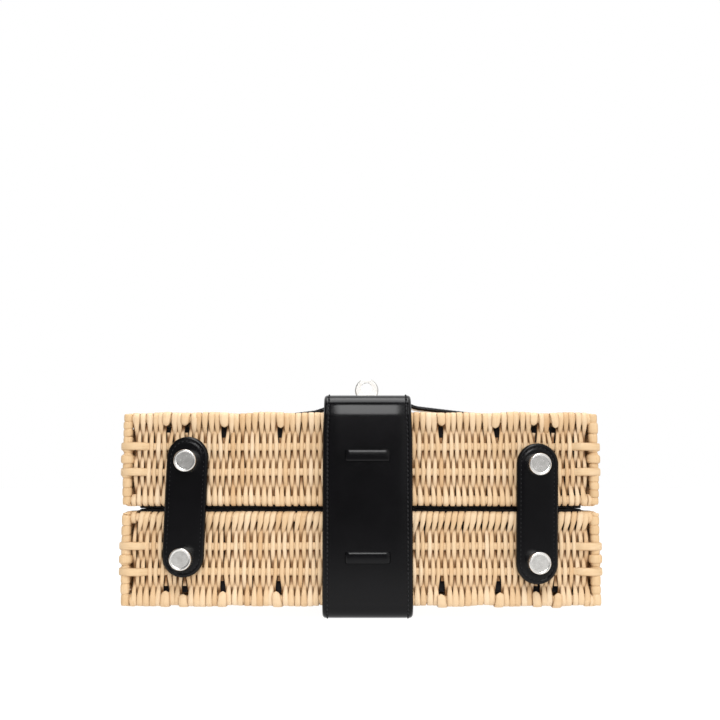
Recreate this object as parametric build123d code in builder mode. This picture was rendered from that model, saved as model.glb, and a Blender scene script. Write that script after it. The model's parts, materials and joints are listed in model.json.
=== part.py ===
from build123d import *
import os
from math import asin, radians, sin, cos

# Basket box bag: two shallow wicker trays that meet mouth to mouth, hinged along the base by two
# leather tabs and a wide leather band. The bag lies on its back: +X is its width, +Z points out of
# its front face and +Y from its base to its mouth side. The origin is on the underside of the band,
# which is what the bag rests on.

os.makedirs("parts", exist_ok=True)

# ---------------------------------------------------------------- driving dimensions (mm)

# wicker trays
tray_length = 219.0
tray_depth = 145.0
back_tray_height = 44.0
front_tray_height = 43.7
tray_gap = 2.3
tray_wall = 7.0
border_height = 5.2
border_step = 1.0
tray_corner = 4.0
tray_edge = 2.5

# linings
lining_thickness = 1.0
lining_clearance = 0.1
lining_lip = 1.0

# base band, and the laces that hold it
band_x = 3.2
band_width = 41.0
band_thickness = 3.6
band_clearance = 0.4
band_crest = 3.4
band_end_y = 56.0
crest_run = 18.0
slope_run = 24.0
slope_radius = 40.0
under_bend = 3.2
lace_span = 22.0
lace_height = 5.4
lace_thickness = 1.6
lace_tail = 6.0
lace_clearance = 0.3
lace_spread = 46.0
lace_proud = 0.1
lace_slack_bend = 2.2
lace_tight_bend = 0.6

# hinge tabs, with their places on the base
tab_length = 63.6
tab_width = 19.0
tab_thickness = 2.6
tab_clearance = 0.3
tab_x = {"left": -79.6, "right": 80.2}
tab_lift = {"left": 1.0, "right": -2.0}
tab_lean = {"left": 1.9, "right": 1.1}
foot_shift = {"left": -1.2, "right": 0.2}

# feet
foot_radius = 5.0
foot_height = 8.5
foot_spacing = 43.9
foot_dish = 0.4
foot_dish_radius = 4.1
foot_bevel = 0.5
foot_stem_radius = 1.8
foot_seat_gap = 0.1
nut_radius = 4.2
nut_height = 2.2
bolt_clearance = 0.1
thread_gap = 0.02

# side straps and their slotted end plates
strap_width = 12.0
strap_thickness = 2.1
strap_clearance = 0.4
strap_drop = 30.0
strap_rivet_rise = 7.0
strap_fall = {"left": 24.0, "right": 42.0}
strap_break = {"left": 9.5, "right": 7.5}
strap_sag = {"left": 0.36, "right": 0.5}
end_plate_thickness = 1.1
end_plate_width = 13.0
end_plate_inner = 14.0
end_plate_outer = 17.0
end_plate_corner = 2.5
slot_corner = 1.0
pin_radius = 0.7
pin_offset = 4.2
pin_inset = 4.0
pin_clearance = 0.05
stack_gap = 0.1

# turnlock
lock_y = 0.0
lock_plate_length = 28.0
lock_plate_depth = 27.0
lock_plate_thickness = 1.2
lock_plate_corner = 4.0
lock_rivet_x = 9.0
lock_rivet_y = 10.2
backplate_thickness = 1.5
knob_radius = 6.1
knob_thickness = 2.8
knob_eye_radius = 3.0
knob_eye_rise = 3.7
knob_centre_rise = 2.7
knob_clearance = 0.3
knob_round = 0.7
spindle_radius = 1.5
spindle_running = 0.05
spindle_space = 0.6
slot_side = 0.4
retainer_radius = 3.4
retainer_thickness = 1.0
spindle_tail = 0.3

# closing tongue and its keeper on the mouth side
tongue_width = 26.0
tongue_thickness = 3.6
tongue_clearance = 0.7
tongue_seam = 4.6
tongue_seam_gap = 0.4
tongue_tuck = 6.0
keeper_height = 9.0
keeper_low_z = 25.0
keeper_thickness = 2.2
keeper_slack = 2.2
keeper_side = 2.0
keeper_ear = 7.5
keeper_slack_bend = 2.8
keeper_tight_bend = 1.0

# handle, its rings and its chapes on the mouth side
handle_spread = 80.0
handle_reach = 47.5
handle_radius = 5.0
handle_floor_gap = 0.3
handle_leg_end = 31.0
handle_shoulder = 12.0
handle_tongue_width = 11.0
handle_tongue_thickness = 5.0
handle_tongue_reach = 8.0
handle_tongue_overlap = 3.0
ring_wire = 1.3
ring_width = 16.0
ring_reach = 12.0
ring_corner = 3.0
ring_running = 0.3
chape_width = 11.0
chape_eye = 3.6
chape_thickness = 2.4
chape_length = 14.0
chape_axis_z = 27.0
chape_clearance = 0.3

# rivets
rivet_radius = 1.2
rivet_head_radius = 2.4
rivet_head_height = 1.0
flush_rivet_radius = 3.0
rivet_proud = 0.1
seat_gap = 0.05
shank_overlap = 0.2

# ---------------------------------------------------------------- worked-out places

back_low = band_thickness + band_clearance
back_high = back_low + back_tray_height
front_low = back_high + tray_gap
front_high = front_low + front_tray_height
hinge_z = (back_high + front_low) / 2
end_x = tray_length / 2
base_y = -tray_depth / 2
mouth_y = tray_depth / 2
skin = tray_wall + lining_clearance + lining_thickness

tab_inner_y = base_y - tab_clearance
tab_outer_y = tab_inner_y - tab_thickness
band_inner_y = base_y - tab_clearance
band_outer_y = band_inner_y - band_thickness
band_face_z = front_high + band_clearance
band_top_z = band_face_z + band_thickness

lock_plate_z = band_top_z + stack_gap
lower_strap_z = lock_plate_z + lock_plate_thickness + stack_gap
lower_plate_z = lower_strap_z + strap_thickness
upper_strap_z = lower_plate_z + end_plate_thickness + stack_gap
upper_plate_z = upper_strap_z + strap_thickness
stack_top_z = upper_plate_z + end_plate_thickness
knob_foot_z = stack_top_z + knob_clearance
backplate_z = front_high - skin - backplate_thickness
retainer_z = backplate_z - knob_clearance - retainer_thickness

wall_reach = skin + 2.0
handle_angle = asin((chape_axis_z - handle_radius - handle_floor_gap) / handle_reach)
chape_axis_y = mouth_y + chape_clearance + chape_thickness / 2 + chape_eye


def tab_plane(side, y):
    """The plane of a hinge tab, leaning with it and facing out of the base."""
    lean = radians(tab_lean[side])
    return Plane(
        origin=(tab_x[side], y, hinge_z + tab_lift[side]),
        x_dir=(sin(lean), 0, cos(lean)),
        z_dir=(0, -1, 0),
    )


def foot_centre(side, end):
    """Where a foot stands on the base: end is +1 for the front half and -1 for the back half."""
    along = foot_shift[side] + end * foot_spacing / 2
    return tab_plane(side, tab_outer_y).from_local_coords((along, 0, 0))


def foot_places(end, y):
    """The two feet of one half, as points at depth y."""
    return [(foot_centre(side, end).X, y, foot_centre(side, end).Z) for side in ("left", "right")]


def lace_places(z, y):
    """The two slots that a lace passes through, at height z and depth y."""
    offset_x = (lace_span - lace_thickness) / 2
    return [(band_x - offset_x, y, z), (band_x + offset_x, y, z)]


lower_lace_z = hinge_z + tray_gap / 2 - lace_spread / 2
upper_lace_z = lower_lace_z + lace_spread
slot_x = lace_thickness + 2 * lace_clearance
slot_z = lace_height + 2 * lace_clearance
band_rivets = [(band_x - band_width / 4, band_end_y - 8), (band_x + band_width / 4, band_end_y - 8)]
lock_rivets = [(band_x + i * lock_rivet_x, lock_y + j * lock_rivet_y) for i in (-1, 1) for j in (-1, 1)]
keeper_half = tongue_width / 2 + keeper_side
keeper_rivet_x = keeper_half + keeper_thickness + keeper_ear / 2
keeper_mid_z = keeper_low_z + keeper_height / 2
keeper_rivets = [(band_x - keeper_rivet_x, keeper_mid_z), (band_x + keeper_rivet_x, keeper_mid_z)]
chape_rivet_z = chape_axis_z - chape_eye - chape_length / 2
chape_rivets = [(-handle_spread / 2, chape_rivet_z), (handle_spread / 2, chape_rivet_z)]
strap_low_z = front_high - strap_drop
strap_rivet_z = strap_low_z + strap_rivet_rise


def rounded_slab(plane, length, depth, radius, height):
    """A slab with rounded corners, standing on a plane."""
    with BuildPart() as slab:
        with BuildSketch(plane):
            RectangleRounded(length, depth, radius)
        extrude(amount=height)
    return slab.part


def tray_shell(low, height, mouth_up):
    """One wicker tray: walls between two thicker borders, with a floor on the side away from the mouth."""
    wall_low = low + border_height
    wall_height = height - 2 * border_height
    hollow_low = low + tray_wall if mouth_up else low
    with BuildPart() as shell:
        add(rounded_slab(Plane.XY.offset(low), tray_length, tray_depth, tray_corner, height))
        outer_edges = shell.faces().sort_by(Axis.Z)[0 if mouth_up else -1].edges()
        fillet(outer_edges, tray_edge)
        with BuildSketch(Plane.XY.offset(wall_low)):
            RectangleRounded(tray_length + 1, tray_depth + 1, tray_corner)
            RectangleRounded(
                tray_length - 2 * border_step,
                tray_depth - 2 * border_step,
                tray_corner,
                mode=Mode.SUBTRACT,
            )
        extrude(amount=wall_height, mode=Mode.SUBTRACT)
        with BuildSketch(Plane.XY.offset(hollow_low)):
            RectangleRounded(tray_length - 2 * tray_wall, tray_depth - 2 * tray_wall, tray_corner)
        extrude(amount=height - tray_wall, mode=Mode.SUBTRACT)
    return shell.part


def lining_shell(low, height, mouth_up):
    """One lining: a thin open box inside a tray, with a lip that stands out of the tray's mouth."""
    inset = tray_wall + lining_clearance
    length = tray_length - 2 * inset
    depth = tray_depth - 2 * inset
    tall = height - inset + lining_lip
    box_low = low + inset if mouth_up else low - lining_lip
    hollow_low = box_low + lining_thickness if mouth_up else box_low
    with BuildPart() as shell:
        with BuildSketch(Plane.XY.offset(box_low)):
            RectangleRounded(length, depth, tray_corner)
        extrude(amount=tall)
        with BuildSketch(Plane.XY.offset(hollow_low)):
            RectangleRounded(length - 2 * lining_thickness, depth - 2 * lining_thickness, tray_corner)
        extrude(amount=tall - lining_thickness, mode=Mode.SUBTRACT)
    return shell.part


# ---------------------------------------------------------------- back half: tray and lining

wall_mid_y = base_y + wall_reach / 2 - 1
mouth_mid_y = mouth_y - wall_reach / 2 + 1
foot_hole = foot_stem_radius + bolt_clearance
rivet_hole = rivet_radius + bolt_clearance

with BuildPart() as back_tray:
    add(tray_shell(back_low, back_tray_height, True))
    with Locations(*foot_places(-1, wall_mid_y)):
        Cylinder(foot_hole, wall_reach, rotation=(90, 0, 0), mode=Mode.SUBTRACT)
    with Locations(*lace_places(lower_lace_z, wall_mid_y)):
        Box(slot_x, wall_reach, slot_z, mode=Mode.SUBTRACT)
    with Locations(*[(x, y, back_low + tray_wall / 2) for x, y in band_rivets]):
        Cylinder(rivet_hole, 2 * tray_wall, mode=Mode.SUBTRACT)
    with Locations(*[(x, mouth_mid_y, z) for x, z in keeper_rivets + chape_rivets]):
        Cylinder(rivet_hole, wall_reach, rotation=(90, 0, 0), mode=Mode.SUBTRACT)
back_tray.part.label = "back_tray"

with BuildPart() as back_lining:
    add(lining_shell(back_low, back_tray_height, True))
    with Locations(*foot_places(-1, wall_mid_y)):
        Cylinder(foot_hole, wall_reach, rotation=(90, 0, 0), mode=Mode.SUBTRACT)
    with Locations(*lace_places(lower_lace_z, wall_mid_y)):
        Box(slot_x, wall_reach, slot_z, mode=Mode.SUBTRACT)
    with Locations(*[(x, y, back_low + tray_wall) for x, y in band_rivets]):
        Cylinder(rivet_hole, 2 * tray_wall, mode=Mode.SUBTRACT)
    with Locations(*[(x, mouth_mid_y, z) for x, z in keeper_rivets + chape_rivets]):
        Cylinder(rivet_hole, wall_reach, rotation=(90, 0, 0), mode=Mode.SUBTRACT)
back_lining.part.label = "back_lining"

# ---------------------------------------------------------------- front half: tray and lining

side_mid_x = end_x - wall_reach / 2 + 1

with BuildPart() as front_tray:
    add(tray_shell(front_low, front_tray_height, False))
    with Locations(*foot_places(1, wall_mid_y)):
        Cylinder(foot_hole, wall_reach, rotation=(90, 0, 0), mode=Mode.SUBTRACT)
    with Locations(*lace_places(upper_lace_z, wall_mid_y)):
        Box(slot_x, wall_reach, slot_z, mode=Mode.SUBTRACT)
    with Locations((band_x, lock_y, front_high - tray_wall / 2)):
        Cylinder(spindle_radius + spindle_space, 2 * tray_wall, mode=Mode.SUBTRACT)
    with Locations(*[(x, y, front_high - tray_wall / 2) for x, y in lock_rivets]):
        Cylinder(rivet_hole, 2 * tray_wall, mode=Mode.SUBTRACT)
    with Locations((-side_mid_x, lock_y, strap_rivet_z), (side_mid_x, lock_y, strap_rivet_z)):
        Cylinder(rivet_hole, wall_reach, rotation=(0, 90, 0), mode=Mode.SUBTRACT)
front_tray.part.label = "front_tray"

with BuildPart() as front_lining:
    add(lining_shell(front_low, front_tray_height, False))
    with Locations(*foot_places(1, wall_mid_y)):
        Cylinder(foot_hole, wall_reach, rotation=(90, 0, 0), mode=Mode.SUBTRACT)
    with Locations(*lace_places(upper_lace_z, wall_mid_y)):
        Box(slot_x, wall_reach, slot_z, mode=Mode.SUBTRACT)
    with Locations((band_x, lock_y, front_high - tray_wall)):
        Cylinder(spindle_radius + spindle_space, 2 * tray_wall, mode=Mode.SUBTRACT)
    with Locations(*[(x, y, front_high - tray_wall) for x, y in lock_rivets]):
        Cylinder(rivet_hole, 2 * tray_wall, mode=Mode.SUBTRACT)
    with Locations((-side_mid_x, lock_y, strap_rivet_z), (side_mid_x, lock_y, strap_rivet_z)):
        Cylinder(rivet_hole, wall_reach, rotation=(0, 90, 0), mode=Mode.SUBTRACT)
front_lining.part.label = "front_lining"

# ---------------------------------------------------------------- base band

crest_z = band_face_z + band_crest
bend_inner = tray_edge + band_crest

with BuildPart() as base_band:
    # the band's side view, from the lock over the front edge, down the base and under the back
    with BuildSketch(Plane.YZ.offset(band_x)):
        with BuildLine():
            FilletPolyline(
                (lock_y + tongue_seam, band_face_z),
                (base_y + crest_run + slope_run, band_face_z),
                (base_y + crest_run, crest_z),
                (band_inner_y, crest_z),
                (band_inner_y, band_thickness),
                (band_end_y, band_thickness),
                radius=[slope_radius, slope_radius, bend_inner, under_bend],
            )
            offset(amount=band_thickness, side=Side.RIGHT)
        make_face()
    extrude(amount=band_width / 2, both=True)
    with Locations(*lace_places(lower_lace_z, band_outer_y), *lace_places(upper_lace_z, band_outer_y)):
        Box(slot_x, 4 * band_thickness, slot_z, mode=Mode.SUBTRACT)
    with Locations((band_x, lock_y, band_top_z)):
        Cylinder(spindle_radius + spindle_space, 4 * band_thickness, mode=Mode.SUBTRACT)
    with Locations(*[(x, y, band_top_z) for x, y in lock_rivets if y < lock_y]):
        Cylinder(rivet_hole, 4 * band_thickness, mode=Mode.SUBTRACT)
    with Locations(*[(x, y, band_thickness / 2) for x, y in band_rivets]):
        Cylinder(rivet_hole, 2 * band_thickness, mode=Mode.SUBTRACT)
    with Locations(*[(x, y, rivet_head_height / 2) for x, y in band_rivets]):
        Cylinder(flush_rivet_radius + bolt_clearance, rivet_head_height, mode=Mode.SUBTRACT)
base_band.part.label = "base_band"

# ---------------------------------------------------------------- laces through the band

lace_out_y = band_outer_y - lace_proud
lace_in_y = base_y + skin + lace_thickness + lace_proud
lace_half = lace_span / 2 - lace_thickness


def lace(z):
    """A flat lace over the band, through both slots, with its tails turned out inside the tray."""
    with BuildPart() as strip:
        with BuildSketch(Plane.XY.offset(z)):
            with BuildLine():
                FilletPolyline(
                    (band_x - lace_half - lace_tail, lace_in_y),
                    (band_x - lace_half, lace_in_y),
                    (band_x - lace_half, lace_out_y),
                    (band_x + lace_half, lace_out_y),
                    (band_x + lace_half, lace_in_y),
                    (band_x + lace_half + lace_tail, lace_in_y),
                    radius=[lace_slack_bend, lace_tight_bend, lace_tight_bend, lace_slack_bend],
                )
                offset(amount=lace_thickness, side=Side.RIGHT)
            make_face()
        extrude(amount=lace_height / 2, both=True)
    return strip.part


with BuildPart() as lower_lace:
    add(lace(lower_lace_z))
lower_lace.part.label = "lower_lace"

with BuildPart() as upper_lace:
    add(lace(upper_lace_z))
upper_lace.part.label = "upper_lace"

# ---------------------------------------------------------------- rivets that end the band underneath

with BuildPart() as band_rivet_pair:
    for x, y in band_rivets:
        with BuildSketch(Plane.XY.offset(seat_gap)):
            with Locations((x, y)):
                Circle(flush_rivet_radius)
        extrude(amount=rivet_head_height - seat_gap)
        with BuildSketch(Plane.XY.offset(seat_gap)):
            with Locations((x, y)):
                Circle(rivet_radius)
        extrude(amount=back_low + skin + rivet_head_height)
        with BuildSketch(Plane.XY.offset(back_low + skin + seat_gap)):
            with Locations((x, y)):
                Circle(rivet_head_radius)
        extrude(amount=rivet_head_height)
band_rivet_pair.part.label = "band_rivets"

# ---------------------------------------------------------------- hinge tabs and feet


def hinge_tab(side):
    """A round-ended leather tab across the gap, with a hole for each foot."""
    with BuildPart() as tab:
        with BuildSketch(tab_plane(side, tab_inner_y)):
            SlotOverall(tab_length, tab_width)
            with Locations(
                (foot_shift[side] - foot_spacing / 2, 0),
                (foot_shift[side] + foot_spacing / 2, 0),
            ):
                Circle(foot_hole + bolt_clearance, mode=Mode.SUBTRACT)
        extrude(amount=tab_thickness)
    return tab.part


def foot(side, end):
    """A turned foot: a cylindrical head with a bevelled, dished end, and a stem through the wall."""
    place = foot_centre(side, end)
    turning = Plane(origin=(place.X, tab_outer_y - foot_seat_gap, place.Z), x_dir=(1, 0, 0), z_dir=(0, 0, 1))
    stem_length = tab_thickness + tab_clearance + skin + nut_height + foot_seat_gap
    with BuildPart() as turned:
        with BuildSketch(turning):
            with BuildLine():
                Polyline(
                    (0, stem_length),
                    (foot_stem_radius, stem_length),
                    (foot_stem_radius, 0),
                    (foot_radius, 0),
                    (foot_radius, foot_bevel - foot_height),
                    (foot_radius - foot_bevel, -foot_height),
                    (foot_dish_radius, -foot_height),
                    (foot_dish_radius - foot_dish, foot_dish - foot_height),
                    (0, foot_dish - foot_height),
                    close=True,
                )
            make_face()
        revolve(axis=Axis((place.X, 0, place.Z), (0, 1, 0)))
    return turned.part


for side in ("left", "right"):
    with BuildPart() as tab_piece:
        add(hinge_tab(side))
    tab_piece.part.label = "hinge_tab_" + side
    export_step(tab_piece.part, "parts/hinge_tab_" + side + ".step")
    for half, end in (("back", -1), ("front", 1)):
        with BuildPart() as foot_piece:
            add(foot(side, end))
        foot_piece.part.label = "foot_" + half + "_" + side
        export_step(foot_piece.part, "parts/foot_" + half + "_" + side + ".step")

nut_y = base_y + skin + seat_gap + nut_height / 2

for half, end in (("back", -1), ("front", 1)):
    with BuildPart() as foot_nuts:
        with Locations(*foot_places(end, nut_y)):
            Cylinder(nut_radius, nut_height, rotation=(90, 0, 0))
            Cylinder(foot_stem_radius + thread_gap, 2 * nut_height, rotation=(90, 0, 0), mode=Mode.SUBTRACT)
    foot_nuts.part.label = "foot_nuts_" + half
    export_step(foot_nuts.part, "parts/foot_nuts_" + half + ".step")

# ---------------------------------------------------------------- turnlock

slot_length = 2 * (knob_radius + slot_side)
slot_width = knob_thickness + 2 * slot_side

with BuildPart() as lock_plate:
    with BuildSketch(Plane.XY.offset(lock_plate_z)):
        with Locations((band_x, lock_y)):
            RectangleRounded(lock_plate_length, lock_plate_depth, lock_plate_corner)
            Circle(spindle_radius + spindle_running, mode=Mode.SUBTRACT)
        with Locations(*lock_rivets):
            Circle(rivet_hole, mode=Mode.SUBTRACT)
    extrude(amount=lock_plate_thickness)
lock_plate.part.label = "lock_plate"

with BuildPart() as lock_backplate:
    with BuildSketch(Plane.XY.offset(backplate_z)):
        with Locations((band_x, lock_y)):
            RectangleRounded(lock_plate_length, lock_plate_depth, lock_plate_corner)
            Circle(spindle_radius + spindle_running, mode=Mode.SUBTRACT)
        with Locations(*lock_rivets):
            Circle(rivet_hole, mode=Mode.SUBTRACT)
    extrude(amount=backplate_thickness)
lock_backplate.part.label = "lock_backplate"

lock_rivet_top = lock_plate_z + lock_plate_thickness + seat_gap

with BuildPart() as lock_rivet_set:
    for x, y in lock_rivets:
        with BuildSketch(Plane.XY.offset(backplate_z - seat_gap)):
            with Locations((x, y)):
                Circle(rivet_radius)
        extrude(amount=lock_rivet_top + rivet_proud - backplate_z)
        with BuildSketch(Plane.XY.offset(lock_rivet_top)):
            with Locations((x, y)):
                Circle(rivet_head_radius)
        extrude(amount=rivet_head_height)
        with BuildSketch(Plane.XY.offset(backplate_z - seat_gap)):
            with Locations((x, y)):
                Circle(rivet_head_radius)
        extrude(amount=-rivet_head_height)
lock_rivet_set.part.label = "lock_rivets"

knob_centre_z = knob_foot_z + knob_centre_rise

with BuildPart() as turn_knob:
    # a flat ring, cut straight across its foot
    with BuildSketch(Plane.XZ.offset(-lock_y - knob_thickness / 2)):
        with Locations((band_x, knob_centre_z)):
            Circle(knob_radius)
        with Locations((band_x, knob_foot_z - knob_radius)):
            Rectangle(4 * knob_radius, 2 * knob_radius, mode=Mode.SUBTRACT)
    extrude(amount=knob_thickness)
    fillet(turn_knob.edges().filter_by(GeomType.CIRCLE), knob_round)
    with BuildSketch(Plane.XZ.offset(-lock_y - knob_thickness)):
        with Locations((band_x, knob_foot_z + knob_eye_rise)):
            Circle(knob_eye_radius)
    extrude(amount=2 * knob_thickness, mode=Mode.SUBTRACT)
    with BuildSketch(Plane.XY.offset(retainer_z - spindle_tail)):
        with Locations((band_x, lock_y)):
            Circle(spindle_radius)
    extrude(amount=knob_foot_z - retainer_z + spindle_tail)
turn_knob.part.label = "turn_knob"

with BuildPart() as knob_retainer:
    with BuildSketch(Plane.XY.offset(retainer_z)):
        with Locations((band_x, lock_y)):
            Circle(retainer_radius)
            Circle(spindle_radius, mode=Mode.SUBTRACT)
    extrude(amount=retainer_thickness)
knob_retainer.part.label = "knob_retainer"

# ---------------------------------------------------------------- side straps and end plates

strap_face_z = front_high + strap_clearance
strap_wall_x = end_x + strap_clearance
strap_bend = tray_edge + strap_clearance


def side_strap(side, direction, low_z):
    """A narrow strap from the lock, down to the front face, over its edge and down the side wall."""
    inner = band_x - direction * end_plate_inner
    lift_end = band_x + direction * end_plate_outer
    break_x = lift_end + direction * strap_break[side]
    break_z = strap_face_z + strap_sag[side] * (low_z - strap_face_z)
    fall_end = lift_end + direction * strap_fall[side]
    out = Side.LEFT if direction > 0 else Side.RIGHT
    with BuildPart() as strap:
        with BuildSketch(Plane.XZ.offset(-lock_y)):
            with BuildLine():
                FilletPolyline(
                    (inner, low_z),
                    (lift_end, low_z),
                    (break_x, break_z),
                    (fall_end, strap_face_z),
                    (direction * strap_wall_x, strap_face_z),
                    (direction * strap_wall_x, strap_low_z),
                    radius=[5, 12, 30, strap_bend],
                )
                offset(amount=strap_thickness, side=out)
            make_face()
        extrude(amount=strap_width / 2, both=True)
        with Locations((band_x, lock_y, low_z)):
            Box(slot_length, slot_width, 4 * strap_thickness, mode=Mode.SUBTRACT)
        with Locations(*[(x, lock_y + y, low_z) for x, y in plate_pins(direction)]):
            Cylinder(pin_radius + pin_clearance, 4 * strap_thickness, mode=Mode.SUBTRACT)
        with Locations((direction * strap_wall_x, lock_y, strap_rivet_z)):
            Cylinder(rivet_hole, 4 * strap_thickness, rotation=(0, 90, 0), mode=Mode.SUBTRACT)
    return strap.part


def end_plate(direction, low_z):
    """A slotted metal plate on top of a strap's end, with room for the knob to pass when it is open."""
    middle = band_x + direction * (end_plate_outer - end_plate_inner) / 2
    with BuildPart() as plate:
        with BuildSketch(Plane.XY.offset(low_z)):
            with Locations((middle, lock_y)):
                RectangleRounded(end_plate_inner + end_plate_outer, end_plate_width, end_plate_corner)
            with Locations((band_x, lock_y)):
                RectangleRounded(slot_length, slot_width, slot_corner, mode=Mode.SUBTRACT)
            with Locations(*[(x, lock_y + y) for x, y in plate_pins(direction)]):
                Circle(pin_radius + pin_clearance, mode=Mode.SUBTRACT)
        extrude(amount=end_plate_thickness)
    return plate.part


def plate_pins(direction):
    """The two pins that hold an end plate on its strap."""
    x = band_x + direction * (end_plate_outer - pin_inset)
    return [(x, -pin_offset), (x, pin_offset)]


straps = {"left": (-1, lower_strap_z, lower_plate_z), "right": (1, upper_strap_z, upper_plate_z)}

for side, (direction, strap_z, plate_z) in straps.items():
    with BuildPart() as strap_piece:
        add(side_strap(side, direction, strap_z))
    strap_piece.part.label = "side_strap_" + side
    export_step(strap_piece.part, "parts/side_strap_" + side + ".step")
    with BuildPart() as plate_piece:
        add(end_plate(direction, plate_z))
    plate_piece.part.label = "strap_plate_" + side
    export_step(plate_piece.part, "parts/strap_plate_" + side + ".step")
    with BuildPart() as pin_pair:
        with BuildSketch(Plane.XY.offset(strap_z)):
            with Locations(*[(x, lock_y + y) for x, y in plate_pins(direction)]):
                Circle(pin_radius)
        extrude(amount=strap_thickness + end_plate_thickness)
    pin_pair.part.label = "plate_pins_" + side
    export_step(pin_pair.part, "parts/plate_pins_" + side + ".step")

strap_rivet_out = strap_wall_x + strap_thickness + seat_gap
strap_rivet_in = end_x - skin - seat_gap

with BuildPart() as strap_rivet_pair:
    for direction in (-1, 1):
        middle = direction * (strap_rivet_out + strap_rivet_in) / 2
        with Locations((middle, lock_y, strap_rivet_z)):
            Cylinder(rivet_radius, strap_rivet_out - strap_rivet_in + shank_overlap, rotation=(0, 90, 0))
        outer_head = direction * (strap_rivet_out + rivet_head_height / 2)
        inner_head = direction * (strap_rivet_in - rivet_head_height / 2)
        with Locations((outer_head, lock_y, strap_rivet_z), (inner_head, lock_y, strap_rivet_z)):
            Cylinder(rivet_head_radius, rivet_head_height, rotation=(0, 90, 0))
strap_rivet_pair.part.label = "strap_rivets"

# ---------------------------------------------------------------- closing tongue and keeper

tongue_inner_y = mouth_y + tongue_clearance
tongue_tip_z = keeper_low_z + keeper_height - tongue_tuck

with BuildPart() as closing_tongue:
    with BuildSketch(Plane.YZ.offset(band_x)):
        with BuildLine():
            FilletPolyline(
                (lock_y + tongue_seam + tongue_seam_gap, band_face_z),
                (tongue_inner_y, band_face_z),
                (tongue_inner_y, tongue_tip_z),
                radius=[tray_edge + band_clearance],
            )
            offset(amount=tongue_thickness, side=Side.LEFT)
        make_face()
    extrude(amount=tongue_width / 2, both=True)
    with Locations(*[(x, y, band_top_z) for x, y in lock_rivets if y > lock_y]):
        Cylinder(rivet_hole, 4 * tongue_thickness, mode=Mode.SUBTRACT)
closing_tongue.part.label = "closing_tongue"

keeper_face_y = mouth_y + chape_clearance
keeper_bridge_y = tongue_inner_y + tongue_thickness + keeper_slack

with BuildPart() as keeper:
    with BuildSketch(Plane.XY.offset(keeper_low_z)):
        with BuildLine():
            FilletPolyline(
                (band_x - keeper_half - keeper_thickness - keeper_ear, keeper_face_y),
                (band_x - keeper_half, keeper_face_y),
                (band_x - keeper_half, keeper_bridge_y),
                (band_x + keeper_half, keeper_bridge_y),
                (band_x + keeper_half, keeper_face_y),
                (band_x + keeper_half + keeper_thickness + keeper_ear, keeper_face_y),
                radius=[keeper_slack_bend, keeper_tight_bend, keeper_tight_bend, keeper_slack_bend],
            )
            offset(amount=keeper_thickness, side=Side.LEFT)
        make_face()
    extrude(amount=keeper_height)
    with Locations(*[(x, keeper_face_y, z) for x, z in keeper_rivets]):
        Cylinder(rivet_hole, 4 * keeper_thickness, rotation=(90, 0, 0), mode=Mode.SUBTRACT)
keeper.part.label = "keeper"


def wall_rivets(places, outer_y):
    """Rivets through the mouth-side wall of the back half, with a head outside and a head inside."""
    inner_y = mouth_y - skin - seat_gap
    with BuildPart() as rivets:
        for x, z in places:
            with Locations((x, (outer_y + inner_y) / 2, z)):
                Cylinder(rivet_radius, outer_y - inner_y + shank_overlap, rotation=(90, 0, 0))
            outer_head = outer_y + rivet_head_height / 2
            inner_head = inner_y - rivet_head_height / 2
            with Locations((x, outer_head, z), (x, inner_head, z)):
                Cylinder(rivet_head_radius, rivet_head_height, rotation=(90, 0, 0))
    return rivets.part


with BuildPart() as keeper_rivet_pair:
    add(wall_rivets(keeper_rivets, keeper_face_y + keeper_thickness + seat_gap))
keeper_rivet_pair.part.label = "keeper_rivets"

# ---------------------------------------------------------------- handle, rings and chapes

chape_face_y = mouth_y + chape_clearance
handle_y = (0, cos(handle_angle), -sin(handle_angle))
handle_plane = Plane(
    origin=(0, chape_axis_y, chape_axis_z),
    x_dir=(1, 0, 0),
    z_dir=(0, sin(handle_angle), cos(handle_angle)),
)


def chape(centre_x):
    """A leather chape on the wall, rolled into an eye round the ring's bar."""
    with BuildPart() as strip:
        with BuildSketch(Plane.YZ.offset(centre_x)):
            with Locations((chape_axis_y, chape_axis_z)):
                Circle(chape_eye)
            strip_z = chape_axis_z - (chape_eye + chape_length) / 2
            with Locations((chape_face_y + chape_thickness / 2, strip_z)):
                Rectangle(chape_thickness, chape_eye + chape_length)
            with Locations((chape_axis_y, chape_axis_z)):
                Circle(ring_wire + ring_running, mode=Mode.SUBTRACT)
        extrude(amount=chape_width / 2, both=True)
        with Locations((centre_x, chape_face_y, chape_rivet_z)):
            Cylinder(rivet_hole, 2 * chape_thickness + 1, rotation=(90, 0, 0), mode=Mode.SUBTRACT)
    return strip.part


def handle_ring(centre_x):
    """A rounded wire ring: one bar in the chape, the other in the handle's end."""
    half = ring_width / 2
    with BuildPart() as ring:
        with BuildLine(handle_plane):
            FilletPolyline(
                (centre_x - half, 0),
                (centre_x + half, 0),
                (centre_x + half, ring_reach),
                (centre_x - half, ring_reach),
                radius=ring_corner,
                close=True,
            )
        ring_section = Plane(
            origin=handle_plane.from_local_coords((centre_x, 0, 0)),
            z_dir=(1, 0, 0),
        )
        with BuildSketch(ring_section):
            Circle(ring_wire)
        sweep()
    return ring.part


for side, centre_x in (("left", -handle_spread / 2), ("right", handle_spread / 2)):
    with BuildPart() as chape_piece:
        add(chape(centre_x))
    chape_piece.part.label = "handle_chape_" + side
    export_step(chape_piece.part, "parts/handle_chape_" + side + ".step")
    with BuildPart() as ring_piece:
        add(handle_ring(centre_x))
    ring_piece.part.label = "handle_ring_" + side
    export_step(ring_piece.part, "parts/handle_ring_" + side + ".step")

with BuildPart() as chape_rivet_pair:
    add(wall_rivets(chape_rivets, chape_face_y + chape_thickness + seat_gap))
chape_rivet_pair.part.label = "chape_rivets"

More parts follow.
